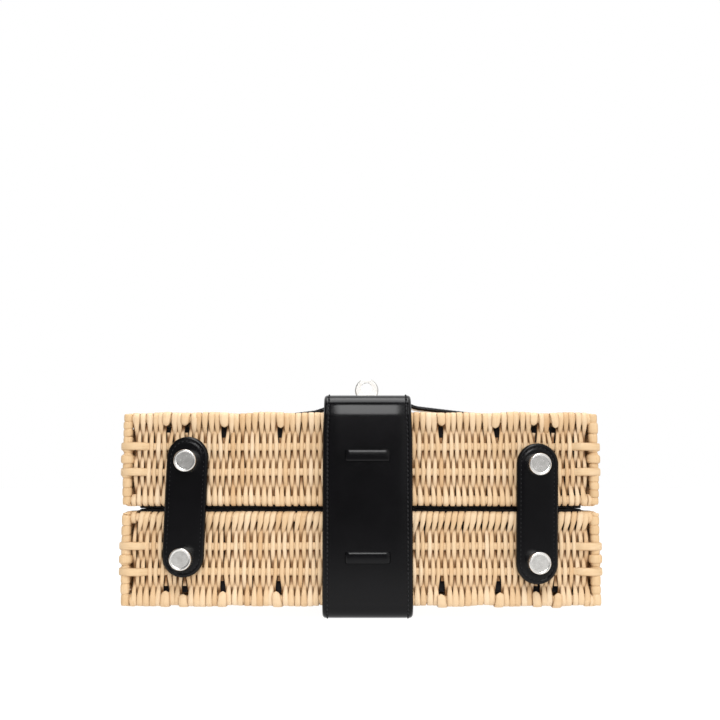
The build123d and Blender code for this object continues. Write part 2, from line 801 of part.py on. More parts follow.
handle_half = handle_spread / 2
roll_start = ring_reach + handle_tongue_reach

with BuildPart() as handle:
    with BuildLine(handle_plane):
        FilletPolyline(
            (-handle_half, roll_start),
            (-handle_half, handle_leg_end),
            (handle_shoulder - handle_half, handle_reach),
            (handle_half - handle_shoulder, handle_reach),
            (handle_half, handle_leg_end),
            (handle_half, roll_start),
            radius=[14, 14, 14, 14],
        )
    with BuildSketch(
        Plane(origin=handle_plane.from_local_coords((-handle_half, roll_start, 0)), z_dir=handle_y)
    ):
        Circle(handle_radius)
    sweep()
    with BuildSketch(handle_plane):
        for direction in (-1, 1):
            with Locations((direction * handle_half, (ring_reach + roll_start + handle_tongue_overlap) / 2)):
                Rectangle(handle_tongue_width, roll_start + handle_tongue_overlap - ring_reach)
    extrude(amount=handle_tongue_thickness / 2, both=True)
    with BuildSketch(Plane.YZ):
        with Locations((chape_axis_y + ring_reach * handle_y[1], chape_axis_z + ring_reach * handle_y[2])):
            Circle(chape_eye)
    eye_reach = handle_half + handle_tongue_width / 2
    extrude(amount=eye_reach, both=True)
    with BuildSketch(Plane.YZ):
        with Locations((chape_axis_y + ring_reach * handle_y[1], chape_axis_z + ring_reach * handle_y[2])):
            Circle(chape_eye + 2.0)
    extrude(amount=handle_half - handle_tongue_width / 2, both=True, mode=Mode.SUBTRACT)
    with BuildSketch(Plane.YZ):
        with Locations((chape_axis_y + ring_reach * handle_y[1], chape_axis_z + ring_reach * handle_y[2])):
            Circle(ring_wire + seat_gap)
    extrude(amount=eye_reach + 1.0, both=True, mode=Mode.SUBTRACT)
handle.part.label = "handle"

# ---------------------------------------------------------------- export

export_step(back_tray.part, "parts/back_tray.step")
export_step(back_lining.part, "parts/back_lining.step")
export_step(front_tray.part, "parts/front_tray.step")
export_step(front_lining.part, "parts/front_lining.step")
export_step(base_band.part, "parts/base_band.step")
export_step(lower_lace.part, "parts/lower_lace.step")
export_step(upper_lace.part, "parts/upper_lace.step")
export_step(band_rivet_pair.part, "parts/band_rivets.step")
export_step(lock_plate.part, "parts/lock_plate.step")
export_step(lock_backplate.part, "parts/lock_backplate.step")
export_step(lock_rivet_set.part, "parts/lock_rivets.step")
export_step(turn_knob.part, "parts/turn_knob.step")
export_step(knob_retainer.part, "parts/knob_retainer.step")
export_step(strap_rivet_pair.part, "parts/strap_rivets.step")
export_step(closing_tongue.part, "parts/closing_tongue.step")
export_step(keeper.part, "parts/keeper.step")
export_step(keeper_rivet_pair.part, "parts/keeper_rivets.step")
export_step(chape_rivet_pair.part, "parts/chape_rivets.step")
export_step(handle.part, "parts/handle.step")
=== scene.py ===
import json
import math

import bpy
import numpy as np
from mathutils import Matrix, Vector


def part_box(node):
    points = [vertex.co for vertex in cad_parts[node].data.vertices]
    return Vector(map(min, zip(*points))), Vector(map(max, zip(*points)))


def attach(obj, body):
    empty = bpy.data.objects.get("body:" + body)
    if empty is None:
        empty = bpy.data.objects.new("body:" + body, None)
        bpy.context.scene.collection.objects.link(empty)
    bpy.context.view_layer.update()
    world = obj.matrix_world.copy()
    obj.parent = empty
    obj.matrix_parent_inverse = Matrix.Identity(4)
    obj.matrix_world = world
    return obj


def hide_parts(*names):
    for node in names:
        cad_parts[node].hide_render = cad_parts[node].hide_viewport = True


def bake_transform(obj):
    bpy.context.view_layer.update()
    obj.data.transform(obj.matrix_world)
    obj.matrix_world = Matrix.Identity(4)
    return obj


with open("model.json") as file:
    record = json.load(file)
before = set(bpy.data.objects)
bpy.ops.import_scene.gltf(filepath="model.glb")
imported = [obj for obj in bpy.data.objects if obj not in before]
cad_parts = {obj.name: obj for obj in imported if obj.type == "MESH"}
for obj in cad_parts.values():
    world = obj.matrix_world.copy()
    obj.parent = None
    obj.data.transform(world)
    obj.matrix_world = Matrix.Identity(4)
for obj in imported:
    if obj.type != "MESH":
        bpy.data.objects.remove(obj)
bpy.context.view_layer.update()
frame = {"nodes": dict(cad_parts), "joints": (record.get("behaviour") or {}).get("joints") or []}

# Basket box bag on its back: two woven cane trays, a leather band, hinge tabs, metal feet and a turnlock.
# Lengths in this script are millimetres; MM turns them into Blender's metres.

MM = 0.001
dice = np.random.default_rng(11)

UP = np.array([0.0, 0.0, 1.0])
RIGHT = np.array([1.0, 0.0, 0.0])
BACK = np.array([0.0, 1.0, 0.0])


def cad(node):
    """The lowest and highest corner of a CAD node, in millimetres."""
    low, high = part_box(node)
    return np.array(low) / MM, np.array(high) / MM


back_low, back_high = cad("back_tray")
front_low, front_high = cad("front_tray")
band_low, band_high = cad("base_band")
swing = np.array(next(j for j in frame["joints"] if j["name"] == "handle_swing")["pos_m"]) / MM


# ---------------------------------------------------------------- shader maths


class Shade:
    """A socket whose sums and products add Math nodes to its material."""

    def __init__(self, tree, socket):
        self.tree = tree
        self.socket = socket

    def math(self, operation, first, second=0.0):
        """Any Math node with one or two inputs."""
        node = self.tree.nodes.new("ShaderNodeMath")
        node.operation = operation
        for place, value in zip(node.inputs, (first, second)):
            plug(self.tree, place, value)
        return Shade(self.tree, node.outputs[0])

    def __add__(self, other):
        return self.math("ADD", self, other)

    def __radd__(self, other):
        return self.math("ADD", other, self)

    def __sub__(self, other):
        return self.math("SUBTRACT", self, other)

    def __rsub__(self, other):
        return self.math("SUBTRACT", other, self)

    def __mul__(self, other):
        return self.math("MULTIPLY", self, other)

    def __rmul__(self, other):
        return self.math("MULTIPLY", other, self)

    def __truediv__(self, other):
        return self.math("DIVIDE", self, other)

    def __pow__(self, other):
        return self.math("POWER", self, other)

    def size(self):
        """Without its sign."""
        return self.math("ABSOLUTE", self)

    def clamp(self):
        """Kept between 0 and 1."""
        return self.math("MINIMUM", self.math("MAXIMUM", self, 0.0), 1.0)


def plug(tree, place, value):
    """Sets a socket to a plain value, or links a Shade to it."""
    if isinstance(value, Shade):
        tree.links.new(value.socket, place)
    else:
        place.default_value = value


class Nodes:
    """Nodes of one material or world."""

    def __init__(self, tree):
        self.tree = tree

    def node(self, kind, settings=None, output=0, **sockets):
        """Any node: its settings first, then the values of its sockets, by name with _ for a space."""
        node = self.tree.nodes.new("ShaderNode" + kind)
        for name, value in (settings or {}).items():
            setattr(node, name, value)
        for name, value in sockets.items():
            plug(self.tree, node.inputs[name.replace("_", " ")], value)
        return Shade(self.tree, node.outputs[output])

    def ramp(self, value, stops):
        """A colour ramp, whose stops are a place from 0 to 1 and a colour each."""
        node = self.tree.nodes.new("ShaderNodeValToRGB")
        elements = node.color_ramp.elements
        while len(elements) < len(stops):
            elements.new(0.5)
        for element, (place, colour) in zip(elements, stops):
            element.position = place
            element.color = (*colour, 1.0)
        plug(self.tree, node.inputs[0], value)
        return Shade(self.tree, node.outputs[0])

    def blend(self, amount, first, second):
        """Mixes two colours."""
        node = self.tree.nodes.new("ShaderNodeMix")
        node.data_type = "RGBA"
        for index, value in ((0, amount), (6, first), (7, second)):
            if isinstance(value, tuple):
                value = (*value, 1.0)
            plug(self.tree, node.inputs[index], value)
        return Shade(self.tree, node.outputs[2])


class Finish(Nodes):
    """A material made of nodes."""

    def __init__(self, name):
        self.material = bpy.data.materials.new(name)
        self.material.use_nodes = True
        super().__init__(self.material.node_tree)
        self.surface = self.tree.nodes["Principled BSDF"]

    def attribute(self, name):
        """A number that the mesh carries at each point."""
        return self.node("Attribute", {"attribute_name": name}, output=2)

    def place(self):
        """Where a point is in the object's own space."""
        return self.node("TexCoord", output=3)

    def vector(self, x, y, z):
        """Three numbers as a vector."""
        return self.node("CombineXYZ", X=x, Y=y, Z=z)

    def noise(self, vector, scale, detail=2.0, roughness=0.5):
        """Soft random patches."""
        return self.node("TexNoise", Vector=vector, Scale=scale, Detail=detail, Roughness=roughness)

    def bump(self, height, distance, strength):
        """A normal that follows a fine relief."""
        return self.node("Bump", Height=height, Distance=distance, Strength=strength)

    def set(self, **sockets):
        """Sets sockets of the surface, and gives the material."""
        for name, value in sockets.items():
            plug(self.tree, self.surface.inputs[name.replace("_", " ")], value)
        return self.material


# ---------------------------------------------------------------- finishes


def cane_finish(name, pale, mid, deep):
    """Split cane: each strand has its own tone, with fine fibres along it, browner edges and a painted shade
    where it lies under the rods.
    """
    f = Finish(name)
    across = f.attribute("across")
    along = f.attribute("along")
    tone = f.attribute("tone")
    fibre_place = f.vector(across * 3.2 + tone * 37.0, along * 0.05, tone * 61.0)
    fibres = f.noise(fibre_place, 2.2, 4.0, 0.65)
    patches = f.noise(f.vector(across * 0.3 + tone * 91.0, along * 0.16, tone * 17.0), 1.0, 3.0, 0.6)
    body = f.ramp((tone * 0.55 + patches * 0.45).clamp(), [(0.18, deep), (0.5, mid), (0.82, pale)])
    streaked = f.blend(((fibres - 0.52) * 1.9).clamp(), body, (0.50, 0.30, 0.125))
    edge = across.size() ** 6.0
    edged = f.blend(edge * 0.5, streaked, (0.34, 0.17, 0.06))
    # painted shade: a warm dark brown where the strand lies back under the rods, standing in for the shadow
    # there
    shaded_under_rods = f.blend(f.attribute("painted_shade") * 0.85, edged, (0.30, 0.135, 0.045))
    height = fibres * 0.6 + patches * 0.4
    return f.set(
        Base_Color=shaded_under_rods,
        Roughness=(0.42 + fibres * 0.22).clamp(),
        Specular_IOR_Level=0.28,
        Normal=f.bump(height, 0.00012, 0.55),
    )


def leather_finish(name):
    """Smooth black calf: close grain, a soft sheen and faint creases."""
    f = Finish(name)
    place = f.place()
    grain = f.node("TexVoronoi", {"feature": "DISTANCE_TO_EDGE"}, Vector=place, Scale=1500.0)
    pores = f.noise(place, 2600.0, 2.0, 0.6)
    clouds = f.noise(place, 60.0, 3.0, 0.6)
    colour = f.ramp(clouds, [(0.3, (0.0010, 0.0009, 0.0013)), (0.7, (0.0020, 0.0018, 0.0025))])
    height = (grain * 3.0).clamp() * 0.7 + pores * 0.3
    return f.set(
        Base_Color=colour,
        Roughness=(0.12 + clouds * 0.06 + pores * 0.05).clamp(),
        Specular_IOR_Level=0.21,
        Normal=f.bump(height, 0.000012, 0.35),
    )


def thread_finish(name):
    """Waxed black linen thread with a twist."""
    f = Finish(name)
    twist = f.node(
        "TexWave", {"wave_type": "BANDS", "bands_direction": "DIAGONAL"}, Vector=f.place(), Scale=900.0
    )
    colour = f.ramp(twist, [(0.2, (0.004, 0.004, 0.005)), (0.8, (0.020, 0.019, 0.021))])
    return f.set(
        Base_Color=colour,
        Roughness=0.6,
        Specular_IOR_Level=0.25,
        Normal=f.bump(twist, 0.00004, 0.7),
    )


def nickel_finish(name, roughness, lines, pale):
    """Nickel with hairline marks. lines is how much they roughen it, and pale is how light it is."""
    f = Finish(name)
    place = f.place()
    stretched = f.node("Mapping", Vector=place, Scale=(240.0, 240.0, 2600.0))
    marks = f.noise(stretched, 1.0, 3.0, 0.7)
    haze = f.noise(place, 420.0, 2.0)
    dull = tuple(np.array((0.70, 0.68, 0.65)) * pale)
    bright = tuple(np.array((0.80, 0.785, 0.755)) * pale)
    colour = f.ramp(haze, [(0.3, dull), (0.7, bright)])
    return f.set(
        Base_Color=colour,
        Metallic=1.0,
        Roughness=(marks * lines + haze * 0.05 + roughness).clamp(),
        Normal=f.bump(marks, 0.00001, 0.15),
    )


def cloth_finish(name):
    """Black cotton twill."""
    f = Finish(name)
    place = f.place()
    warp = f.node(
        "TexWave", {"wave_type": "BANDS", "bands_direction": "DIAGONAL"},
        Vector=place, Scale=700.0, Distortion=0.6, Detail=1.0,
    )
    fuzz = f.noise(place, 1800.0, 3.0, 0.7)
    colour = f.ramp(warp * 0.6 + fuzz * 0.4, [(0.2, (0.006, 0.006, 0.007)), (0.8, (0.028, 0.027, 0.030))])
    return f.set(
        Base_Color=colour,
        Roughness=0.9,
        Sheen_Weight=0.15,
        Normal=f.bump(warp * 0.7 + fuzz * 0.3, 0.0001, 0.6),
    )


def floor_finish(name):
    """A pale studio floor, lit from within round the bag and dark towards the front of the room."""
    f = Finish(name)
    towards_back = f.node("SeparateXYZ", output=1, Vector=f.place())
    near = ((towards_back + 0.90) * 1.75).clamp()
    dark, dim, white = [(grey, grey, grey) for grey in (0.10, 0.12, 0.96)]
    glow = f.ramp(near, [(0.0, dark), (0.75, dim), (1.0, white)])
    return f.set(
        Base_Color=(0.12, 0.12, 0.12, 1.0),
        Roughness=0.85,
        Specular_IOR_Level=0.05,
        Emission_Color=glow,
        Emission_Strength=1.0,
    )


CANE = cane_finish("split_cane", (0.86, 0.66, 0.445), (0.78, 0.555, 0.33), (0.67, 0.43, 0.225))
ROD = cane_finish("round_cane", (0.84, 0.635, 0.415), (0.75, 0.525, 0.30), (0.63, 0.41, 0.21))
LEATHER = leather_finish("black_calf")
THREAD = thread_finish("black_thread")
NICKEL = nickel_finish("polished_nickel", 0.16, 0.08, 1.0)
SATIN = nickel_finish("satin_nickel", 0.30, 0.20, 0.80)
CLOTH = cloth_finish("black_twill")


# ---------------------------------------------------------------- meshes


class Bundle:
    """Closed tubes gathered into one mesh, with what their finish needs: across, along, tone and the painted
    shade of parts that lie in shadow.
    """

    def __init__(self):
        self.points = []
        self.across = []
        self.along = []
        self.tone = []
        self.painted_shade = []
        self.quads = []
        self.caps = []
        self.count = 0

    def tube(self, path, side, out, half_width, half_thick, section, tone=0.5, closed=False, painted_shade=0.0):
        """A tube along path: side and out give its width and thickness directions at each point."""
        path = np.asarray(path, float)
        rings = len(path)
        side = np.broadcast_to(np.asarray(side, float), (rings, 3))
        out = np.broadcast_to(np.asarray(out, float), (rings, 3))
        half_width = np.broadcast_to(np.asarray(half_width, float), (rings,))
        half_thick = np.broadcast_to(np.asarray(half_thick, float), (rings,))
        ring = (
            path[:, None, :]
            + side[:, None, :] * (half_width[:, None] * section[None, :, 0])[:, :, None]
            + out[:, None, :] * (half_thick[:, None] * section[None, :, 1])[:, :, None]
        )
        middle = rings // 2
        ahead = path[min(middle + 1, rings - 1)] - path[middle - 1]
        turned = np.dot(np.cross(side[middle], out[middle]), ahead) < 0
        painted_shade = np.broadcast_to(np.asarray(painted_shade, float), (rings,))
        self.skin(ring, section[:, 0], run_along(path)[:, None], turned, closed, tone, painted_shade[:, None])

    def skin(self, points, across, along, turned=False, closed=False, tone=0.5, painted_shade=0.0):
        """Faces over rings of points, with a cap at both ends unless the last ring meets the first."""
        rings, k = points.shape[:2]
        grid = self.count + np.arange(rings * k).reshape(rings, k)
        below = grid if closed else grid[:-1]
        above = np.roll(grid, -1, axis=0) if closed else grid[1:]
        quads = np.stack([below, np.roll(below, -1, axis=1), np.roll(above, -1, axis=1), above], axis=-1)
        quads = quads.reshape(-1, 4)
        self.quads.append(quads[:, ::-1] if turned else quads)
        if not closed:
            start, end = grid[0][::-1], grid[-1]
            self.caps += [start[::-1], end[::-1]] if turned else [start, end]
        self.points.append(points.reshape(-1, 3))
        kept = (self.across, self.along, self.tone, self.painted_shade)
        for values, value in zip(kept, (across, along, tone, painted_shade)):
            values.append(np.broadcast_to(value, (rings, k)).ravel())
        self.count += rings * k

    def build(self, name, material):
        """Makes one smooth piece of all that was gathered."""
        points = np.concatenate(self.points) * MM
        quads = np.concatenate(self.quads)
        mesh = bpy.data.meshes.new(name)
        mesh.vertices.add(len(points))
        mesh.vertices.foreach_set("co", points.ravel())
        caps = [np.asarray(c) for c in self.caps]
        loops = np.concatenate([quads.ravel(), *caps]) if caps else quads.ravel()
        sizes = np.concatenate([np.full(len(quads), 4), [len(c) for c in caps]]).astype(np.int32)
        mesh.loops.add(len(loops))
        mesh.loops.foreach_set("vertex_index", loops.astype(np.int32))
        mesh.polygons.add(len(sizes))
        starts = np.concatenate([[0], np.cumsum(sizes)[:-1]]).astype(np.int32)
        mesh.polygons.foreach_set("loop_start", starts)
        mesh.update(calc_edges=True)
        for label in ("across", "along", "tone", "painted_shade"):
            layer = mesh.attributes.new(label, "FLOAT", "POINT")
            layer.data.foreach_set("value", np.concatenate(getattr(self, label)).astype(np.float32))
        mesh.polygons.foreach_set("use_smooth", np.ones(len(sizes), bool))
        mesh.validate()
        piece = bpy.data.objects.new(name, mesh)
        bpy.context.scene.collection.objects.link(piece)
        mesh.materials.append(material)
        return piece


def oval(count, squareness=1.0):
    """A section with count points: an ellipse, or with squareness under 1 a flatter, boxier one."""
    angle = np.arange(count) * 2 * np.pi / count
    c, s = np.cos(angle), np.sin(angle)
    return np.stack([np.sign(c) * np.abs(c) ** squareness, np.sign(s) * np.abs(s) ** squareness], axis=1)


def unit(v):
    """Vectors of length 1 in the same directions."""
    return v / np.linalg.norm(v, axis=-1, keepdims=True)


def run_along(path):
    """How far along a path each of its points is."""
    return np.concatenate([[0.0], np.cumsum(np.linalg.norm(np.diff(path, axis=0), axis=1))])


def points_at(places, run, path):
    """The points at some distances along a path whose own points are at run."""
    return np.stack([np.interp(places, run, path[:, i]) for i in range(path.shape[1])], axis=1)


def tangents(path, closed=False):
    """The direction of a path at each point."""
    path = np.asarray(path, float)
    if closed:
        return unit(np.roll(path, -1, axis=0) - np.roll(path, 1, axis=0))
    return unit(np.gradient(path, axis=0))


def facing(way, across, outward, at):
    """The way off a strip's face at each point: at the point at, it is on outward's side."""
    face = unit(np.cross(way, across))
    return -face if face[at] @ outward < 0 else face


def eased(value, low, high):
    """0 below low, 1 above high, and smooth between them."""
    t = np.clip((value - low) / (high - low), 0, 1)
    return t * t * (3 - 2 * t)


def filleted(corners, radii, step):
    """Points every step along a run of straight lines whose corners are rounded to radii."""
    corners = [np.asarray(c, float) for c in corners]
    dense = [corners[0]]
    for before, corner, after, radius in zip(corners, corners[1:], corners[2:], radii):
        a, b = unit(before - corner), unit(after - corner)
        half = math.acos(np.clip(a @ b, -1, 1)) / 2
        reach = radius / math.tan(half)
        centre = corner + unit(a + b) * radius / math.sin(half)
        first, last = corner + a * reach - centre, corner + b * reach - centre
        for t in np.linspace(0, 1, 25):
            spoke = unit(first * (1 - t) + last * t) * radius
            dense.append(centre + spoke)
    dense.append(corners[-1])
    dense = np.array(dense)
    run = run_along(dense)
    places = np.linspace(0, run[-1], max(3, int(round(run[-1] / step)) + 1))
    return points_at(places, run, dense)


def some_tone(middle, spread):
    """A strand's own tone, from 0 to 1."""
    return float(np.clip(dice.normal(middle, spread), 0, 1))


def stand_for(node, slot, body, *pieces):
    """Puts pieces in the place of a CAD node and on its body; slot is not used."""
    for piece in pieces:
        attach(piece, body)
        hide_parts(node)


# ---------------------------------------------------------------- wicker

# strands: half-widths where they pass over, between and under the rods, and round the borders
strand_pitch = 1.43
strand_thick = 0.34
over_width = 1.02
mid_width = 0.84
under_width = 0.66
wrap_width = 1.46
wrap_slack = 0.2
rim_width = {"front": 1.18, "back": 1.38}
rim_lean = {"front": 0.3, "back": 1.3}
wall_steps = 6
strand_section = oval(8, 0.62)
notch_inner = 0.60
notch_outer = 0.45
push_beside = 0.50
push_next = 0.28

# rods, their places as shares of the wall between its borders, and their ribbons round the posts
rod_shares = (0.340, 0.652)
rod_height = 1.80
rod_thick = 1.35
ribbon_height = 1.85
ribbon_thick = 0.75
ribbon_reach = 3.1
ribbon_round = 1.6
ribbon_from = -10.5
ribbon_full = -5.5
border_core = 1.95
border_round = 3.2
border_inset = 3.9
rim_inset = 2.75
weave_depth = 2.9
corner_margin = 6.2
corner_wrap_from = -4.2
corner_wrap_round = 3.4
corner_wrap_width = 1.15
corner_wrap_pitch = 1.9

# corner posts
post_inset = 2.6
post_radius = 2.25
post_cover = 0.8
broad_wrap_tall = 3.9
broad_wrap_radius = 3.15

# the closed face, and the stake ends that come over the border from it
face_inset = 3.3
face_margin_x = 4.4
face_margin_y = 4.2
face_pitch = 1.55
face_steps = 4
stake_half = 1.5
knob_places = (38.3, 63.3, 79.0, 88.6)
hidden_knobs = (12.7,)
side_knobs = (-44.0, -19.0, 6.0, 31.0, 52.0)
plain_stakes = (25.5, 50.8, 71.0, 99.0)
outer_knobs = 70.0
tongue_half = 2.15
tongue_thick = 0.46
tongue_step = 0.6
tongue_tip = 1.7
tongue_course = [(-9.0, 1.0), (-3.2, 1.9), (0.3, 2.75), (2.8, 1.9), (3.25, -1.5)]
tongue_bends = [8.0, 5.0, 2.1, 2.5]


class Tray:
    """The levels of one tray's weave: outward is +1 if its closed face is on top, -1 if below."""

    def __init__(self, name, low, high, outward):
        """low and high are the tray's corners. Levels run from the closed border to the rim."""
        self.name = name
        self.outward = outward
        self.closed = high[2] if outward > 0 else low[2]
        self.mouth = low[2] if outward > 0 else high[2]
        border = self.closed - outward * border_inset
        rim = self.mouth + outward * rim_inset
        self.levels = [border, *[border + (rim - border) * share for share in rod_shares], rim]
        self.high = high
        self.x, self.y = high[:2] - weave_depth

    def face_level(self):
        """The height of the middle of the closed face's weave."""
        return self.closed - self.outward * face_inset

    def drift(self, number, x, y):
        """How far a level strays from straight at a place: the closed border most."""
        turn = number * 1.9 + self.outward
        if number == 0:
            swell = np.sin(x / 3.7 + turn) + 0.6 * np.sin(x / 5.9 + 2.0 * turn)
            return 0.36 * (swell + np.sin(y / 3.9 + turn) + 0.6 * np.sin(y / 6.3))
        slow = np.sin(x / 13.0 + turn) + np.sin(y / 11.0 + 2.0 * turn)
        quick = np.sin(x / 4.1 + 3.0 * turn) + np.sin(y / 3.7 + turn)
        return 0.11 * slow + 0.09 * quick


def wall_points(wall, s, n, z):
    """Turns distances along a wall, out of it and up into points."""
    origin, ahead, out = wall
    return origin + np.outer(s, ahead) + np.outer(n, out) + np.outer(z, UP)


def walls(tray):
    """The tray's four walls: a middle, a direction along and a direction out, and the half-length."""
    half_x, half_y = tray.high[:2] - corner_margin
    return {
        "base": ((BACK * -tray.y, RIGHT, -BACK), half_x),
        "mouth": ((BACK * tray.y, -RIGHT, BACK), half_x),
        "left": ((RIGHT * -tray.x, -BACK, -RIGHT), half_y),
        "right": ((RIGHT * tray.x, BACK, RIGHT), half_y),
    }


def strand_course(tray, parity, start):
    """A wall strand's course: how far out it is, its height, its sideways lean and its half-width.

    One that starts at 0 goes round the closed border, and one at a share of the first span is cut short.
    """
    rod_bulge = rod_thick + strand_thick
    border_bulge = border_core + strand_thick
    bulge = [border_bulge, rod_bulge, rod_bulge, border_bulge]
    lean_at_rim = rim_lean[tray.name]
    out, height, shift, width = [], [], [], []

    def wrap(level, direction, angles, lean):
        """Adds the turn round a border."""
        for angle in angles:
            out.append(border_bulge * math.cos(angle))
            height.append(tray.levels[level] + direction * (border_bulge + wrap_slack) * math.sin(angle))
            shift.append(lean * (1 + 0.8 * math.sin(angle / 2)))
            width.append(rim_width[tray.name] if level == 3 else wrap_width)

    over = [(level + parity) % 2 == 0 for level in range(4)]
    turn = np.radians([165, 130, 95, 62, 32])
    if start == 0 and over[0]:
        wrap(0, tray.outward, turn, 0.0)
    for level in range(3):
        here, there = tray.levels[level], tray.levels[level + 1]
        sign = 1 if over[level] else -1
        for step in range(wall_steps + (level == 2)):
            t = step / wall_steps
            if level == 0 and t < start:
                continue
            wave = math.cos(math.pi * t)
            reach = bulge[level] if t < 0.5 else bulge[level + 1]
            flat = math.copysign(abs(wave) ** 0.75, wave)
            out.append(sign * flat * reach)
            height.append(here + (there - here) * t)
            at_rim = level == 2 and over[3]
            shift.append(lean_at_rim * eased(t, 0.35, 1.0) if at_rim else 0.0)
            raised = sign * wave
            peak = over_width
            if level == 0 and t < 0.5:
                peak = wrap_width
            if level == 2 and t > 0.5:
                peak = rim_width[tray.name]
            ends = under_width if raised < 0 else peak
            width.append(mid_width + (ends - mid_width) * abs(raised) ** 1.3)
    if over[3]:
        wrap(3, -tray.outward, turn[::-1], lean_at_rim)
    return np.array(out), np.array(height), np.array(shift), np.array(width)


def weave_wall(tray, name, wall, half_length):
    """One wall's strands, in pairs that pass over and under the rods."""
    bundle = Bundle()
    knobs = np.array(knob_places_along(name))
    count = int(half_length // strand_pitch)
    _, ahead, out_way = wall
    for k in range(-count, count + 1):
        s = k * strand_pitch
        near_knob = np.abs(s - knobs).min()
        missing = near_knob < strand_pitch * 0.5
        start = 0
        if missing:
            start = notch_inner if abs(s) < outer_knobs else notch_outer
        out, height, shift, width = strand_course(tray, k % 2, start)
        nodes = np.linspace(0, 1, 5)
        share = np.linspace(0, 1, len(out))
        wobble = dice.normal(0, 0.10) + np.interp(share, nodes, dice.normal(0, 0.16, 5))
        if near_knob < strand_pitch * 2.6 and not missing:
            nearest = knobs[np.abs(s - knobs).argmin()]
            near_border = 1 - eased(np.abs(height - tray.levels[0]), 6.0, 13.0)
            push = push_beside if near_knob < strand_pitch * 1.5 else push_next
            wobble = wobble + np.sign(s - nearest) * push * near_border
        flat = wall_points(wall, s + shift + wobble, out, height)
        rise = np.zeros(len(out))
        for number, level in enumerate(tray.levels):
            close = np.exp(-(((height - level) / 4.5) ** 2))
            rise = rise + close * tray.drift(number, flat[:, 0], flat[:, 1])
        path = flat + np.outer(rise, UP)
        outer = facing(tangents(path), ahead, out_way, len(out) // 2)
        # the strand's painted shade: full where it lies back behind the rods, none where it is out in front
        bundle.tube(
            path, ahead, outer, width * dice.uniform(0.88, 1.06), strand_thick, strand_section,
            tone=some_tone(0.52, 0.26), painted_shade=1 - eased(out, -1.3, 0.5),
        )
    return bundle.build(f"weave_{tray.name}_{name}", CANE)


def knob_places_along(name):
    """Where stake ends come over the closed border of a wall, along it."""
    if name in ("left", "right"):
        places = side_knobs
    else:
        places = [sign * place for place in knob_places + hidden_knobs for sign in (-1, 1)]
    return [2 * strand_pitch * round(place / (2 * strand_pitch)) for place in places]


def corner_loop(x, y, radius, count):
    """A rounded rectangle of points, level, with the way out of it at each point."""
    in_x, in_y = x - radius, y - radius
    points = []
    for quarter, (cx, cy) in enumerate([(in_x, in_y), (-in_x, in_y), (-in_x, -in_y), (in_x, -in_y)]):
        for t in np.linspace(0, 1, 9):
            angle = (quarter + t) * math.pi / 2
            points.append((cx + radius * math.cos(angle), cy + radius * math.sin(angle)))
    points = np.array(points + points[:1])
    run = run_along(points)
    loop = points_at(np.linspace(0, run[-1], count, endpoint=False), run, points)
    along = tangents(loop, closed=True)
    outs = np.stack([along[:, 1], -along[:, 0]], axis=1)
    return loop, outs


def rods_and_borders(tray):
    """The level rods that the strands cross, flattened round the corner posts, and the border cores."""
    bundle = Bundle()
    for number, level in enumerate(tray.levels):
        border = number in (0, 3)
        loop, outs = corner_loop(tray.x, tray.y, border_round if border else ribbon_round, 500)
        into_corner = np.min(np.abs(loop) - (tray.x, tray.y), axis=1)
        corner = eased(into_corner, ribbon_from, ribbon_full) * (not border)
        places = loop + outs * (corner * ribbon_reach)[:, None]
        path = np.column_stack([places, level + tray.drift(number, places[:, 0], places[:, 1])])
        out = np.column_stack([outs, np.zeros(len(loop))])
        thick = border_core if border else rod_thick + (ribbon_thick - rod_thick) * corner
        tall = border_core + 0.1 if border else rod_height + (ribbon_height - rod_height) * corner
        section = oval(10, 0.95 if border else 0.6)
        bundle.tube(path, UP, out, tall, thick, section, tone=0.45 + 0.1 * number, closed=True)
    return bundle.build(f"rods_{tray.name}", ROD)


def corner_posts(tray):
    """The corner posts, wrapped with flat cane, with one broad wrap between the two rods."""
    bundle = Bundle()
    low, high = sorted((tray.closed - tray.outward * 2 * post_cover, tray.mouth + tray.outward * post_cover))
    x = tray.high[0] - post_inset
    y = tray.high[1] - post_inset
    middle = (tray.levels[1] + tray.levels[2]) / 2
    round_section = oval(18, 0.85)

    def wrap(centre, tall, radius, tilt, tone):
        """Adds one turn of cane, a short upright barrel."""
        t = np.linspace(0, 1, 7)
        profile = radius * (1 - 0.16 * np.abs(2 * t - 1) ** 5)
        path = np.outer(tall * (t - 0.5), UP) + np.array(centre)
        along_x = unit(RIGHT + UP * tilt[0])
        along_y = unit(BACK + UP * tilt[1])
        bundle.tube(path, along_x, along_y, profile, profile, round_section, tone=tone)

    for sx in (-1, 1):
        for sy in (-1, 1):
            z = low
            while z < high - post_cover:
                tall = min(dice.uniform(3.2, 5.2), high - z)
                jog = dice.normal(0, 0.10, 2)
                end = min((z + tall / 2 - low) / 3.0, (high - z - tall / 2) / 3.0, 1.0)
                radius = (post_radius + dice.normal(0, 0.07)) * (0.86 + 0.14 * end)
                centre = (sx * x + jog[0], sy * y + jog[1], z + tall / 2)
                wrap(centre, tall * 1.02, radius, dice.normal(0, 0.05, 2), dice.uniform(0.2, 0.6))
                z += tall
            centre = (sx * x, sy * y, middle + dice.normal(0, 0.1))
            wrap(centre, broad_wrap_tall, broad_wrap_radius, dice.normal(0, 0.03, 2), 0.45)
    return bundle.build(f"posts_{tray.name}", ROD)


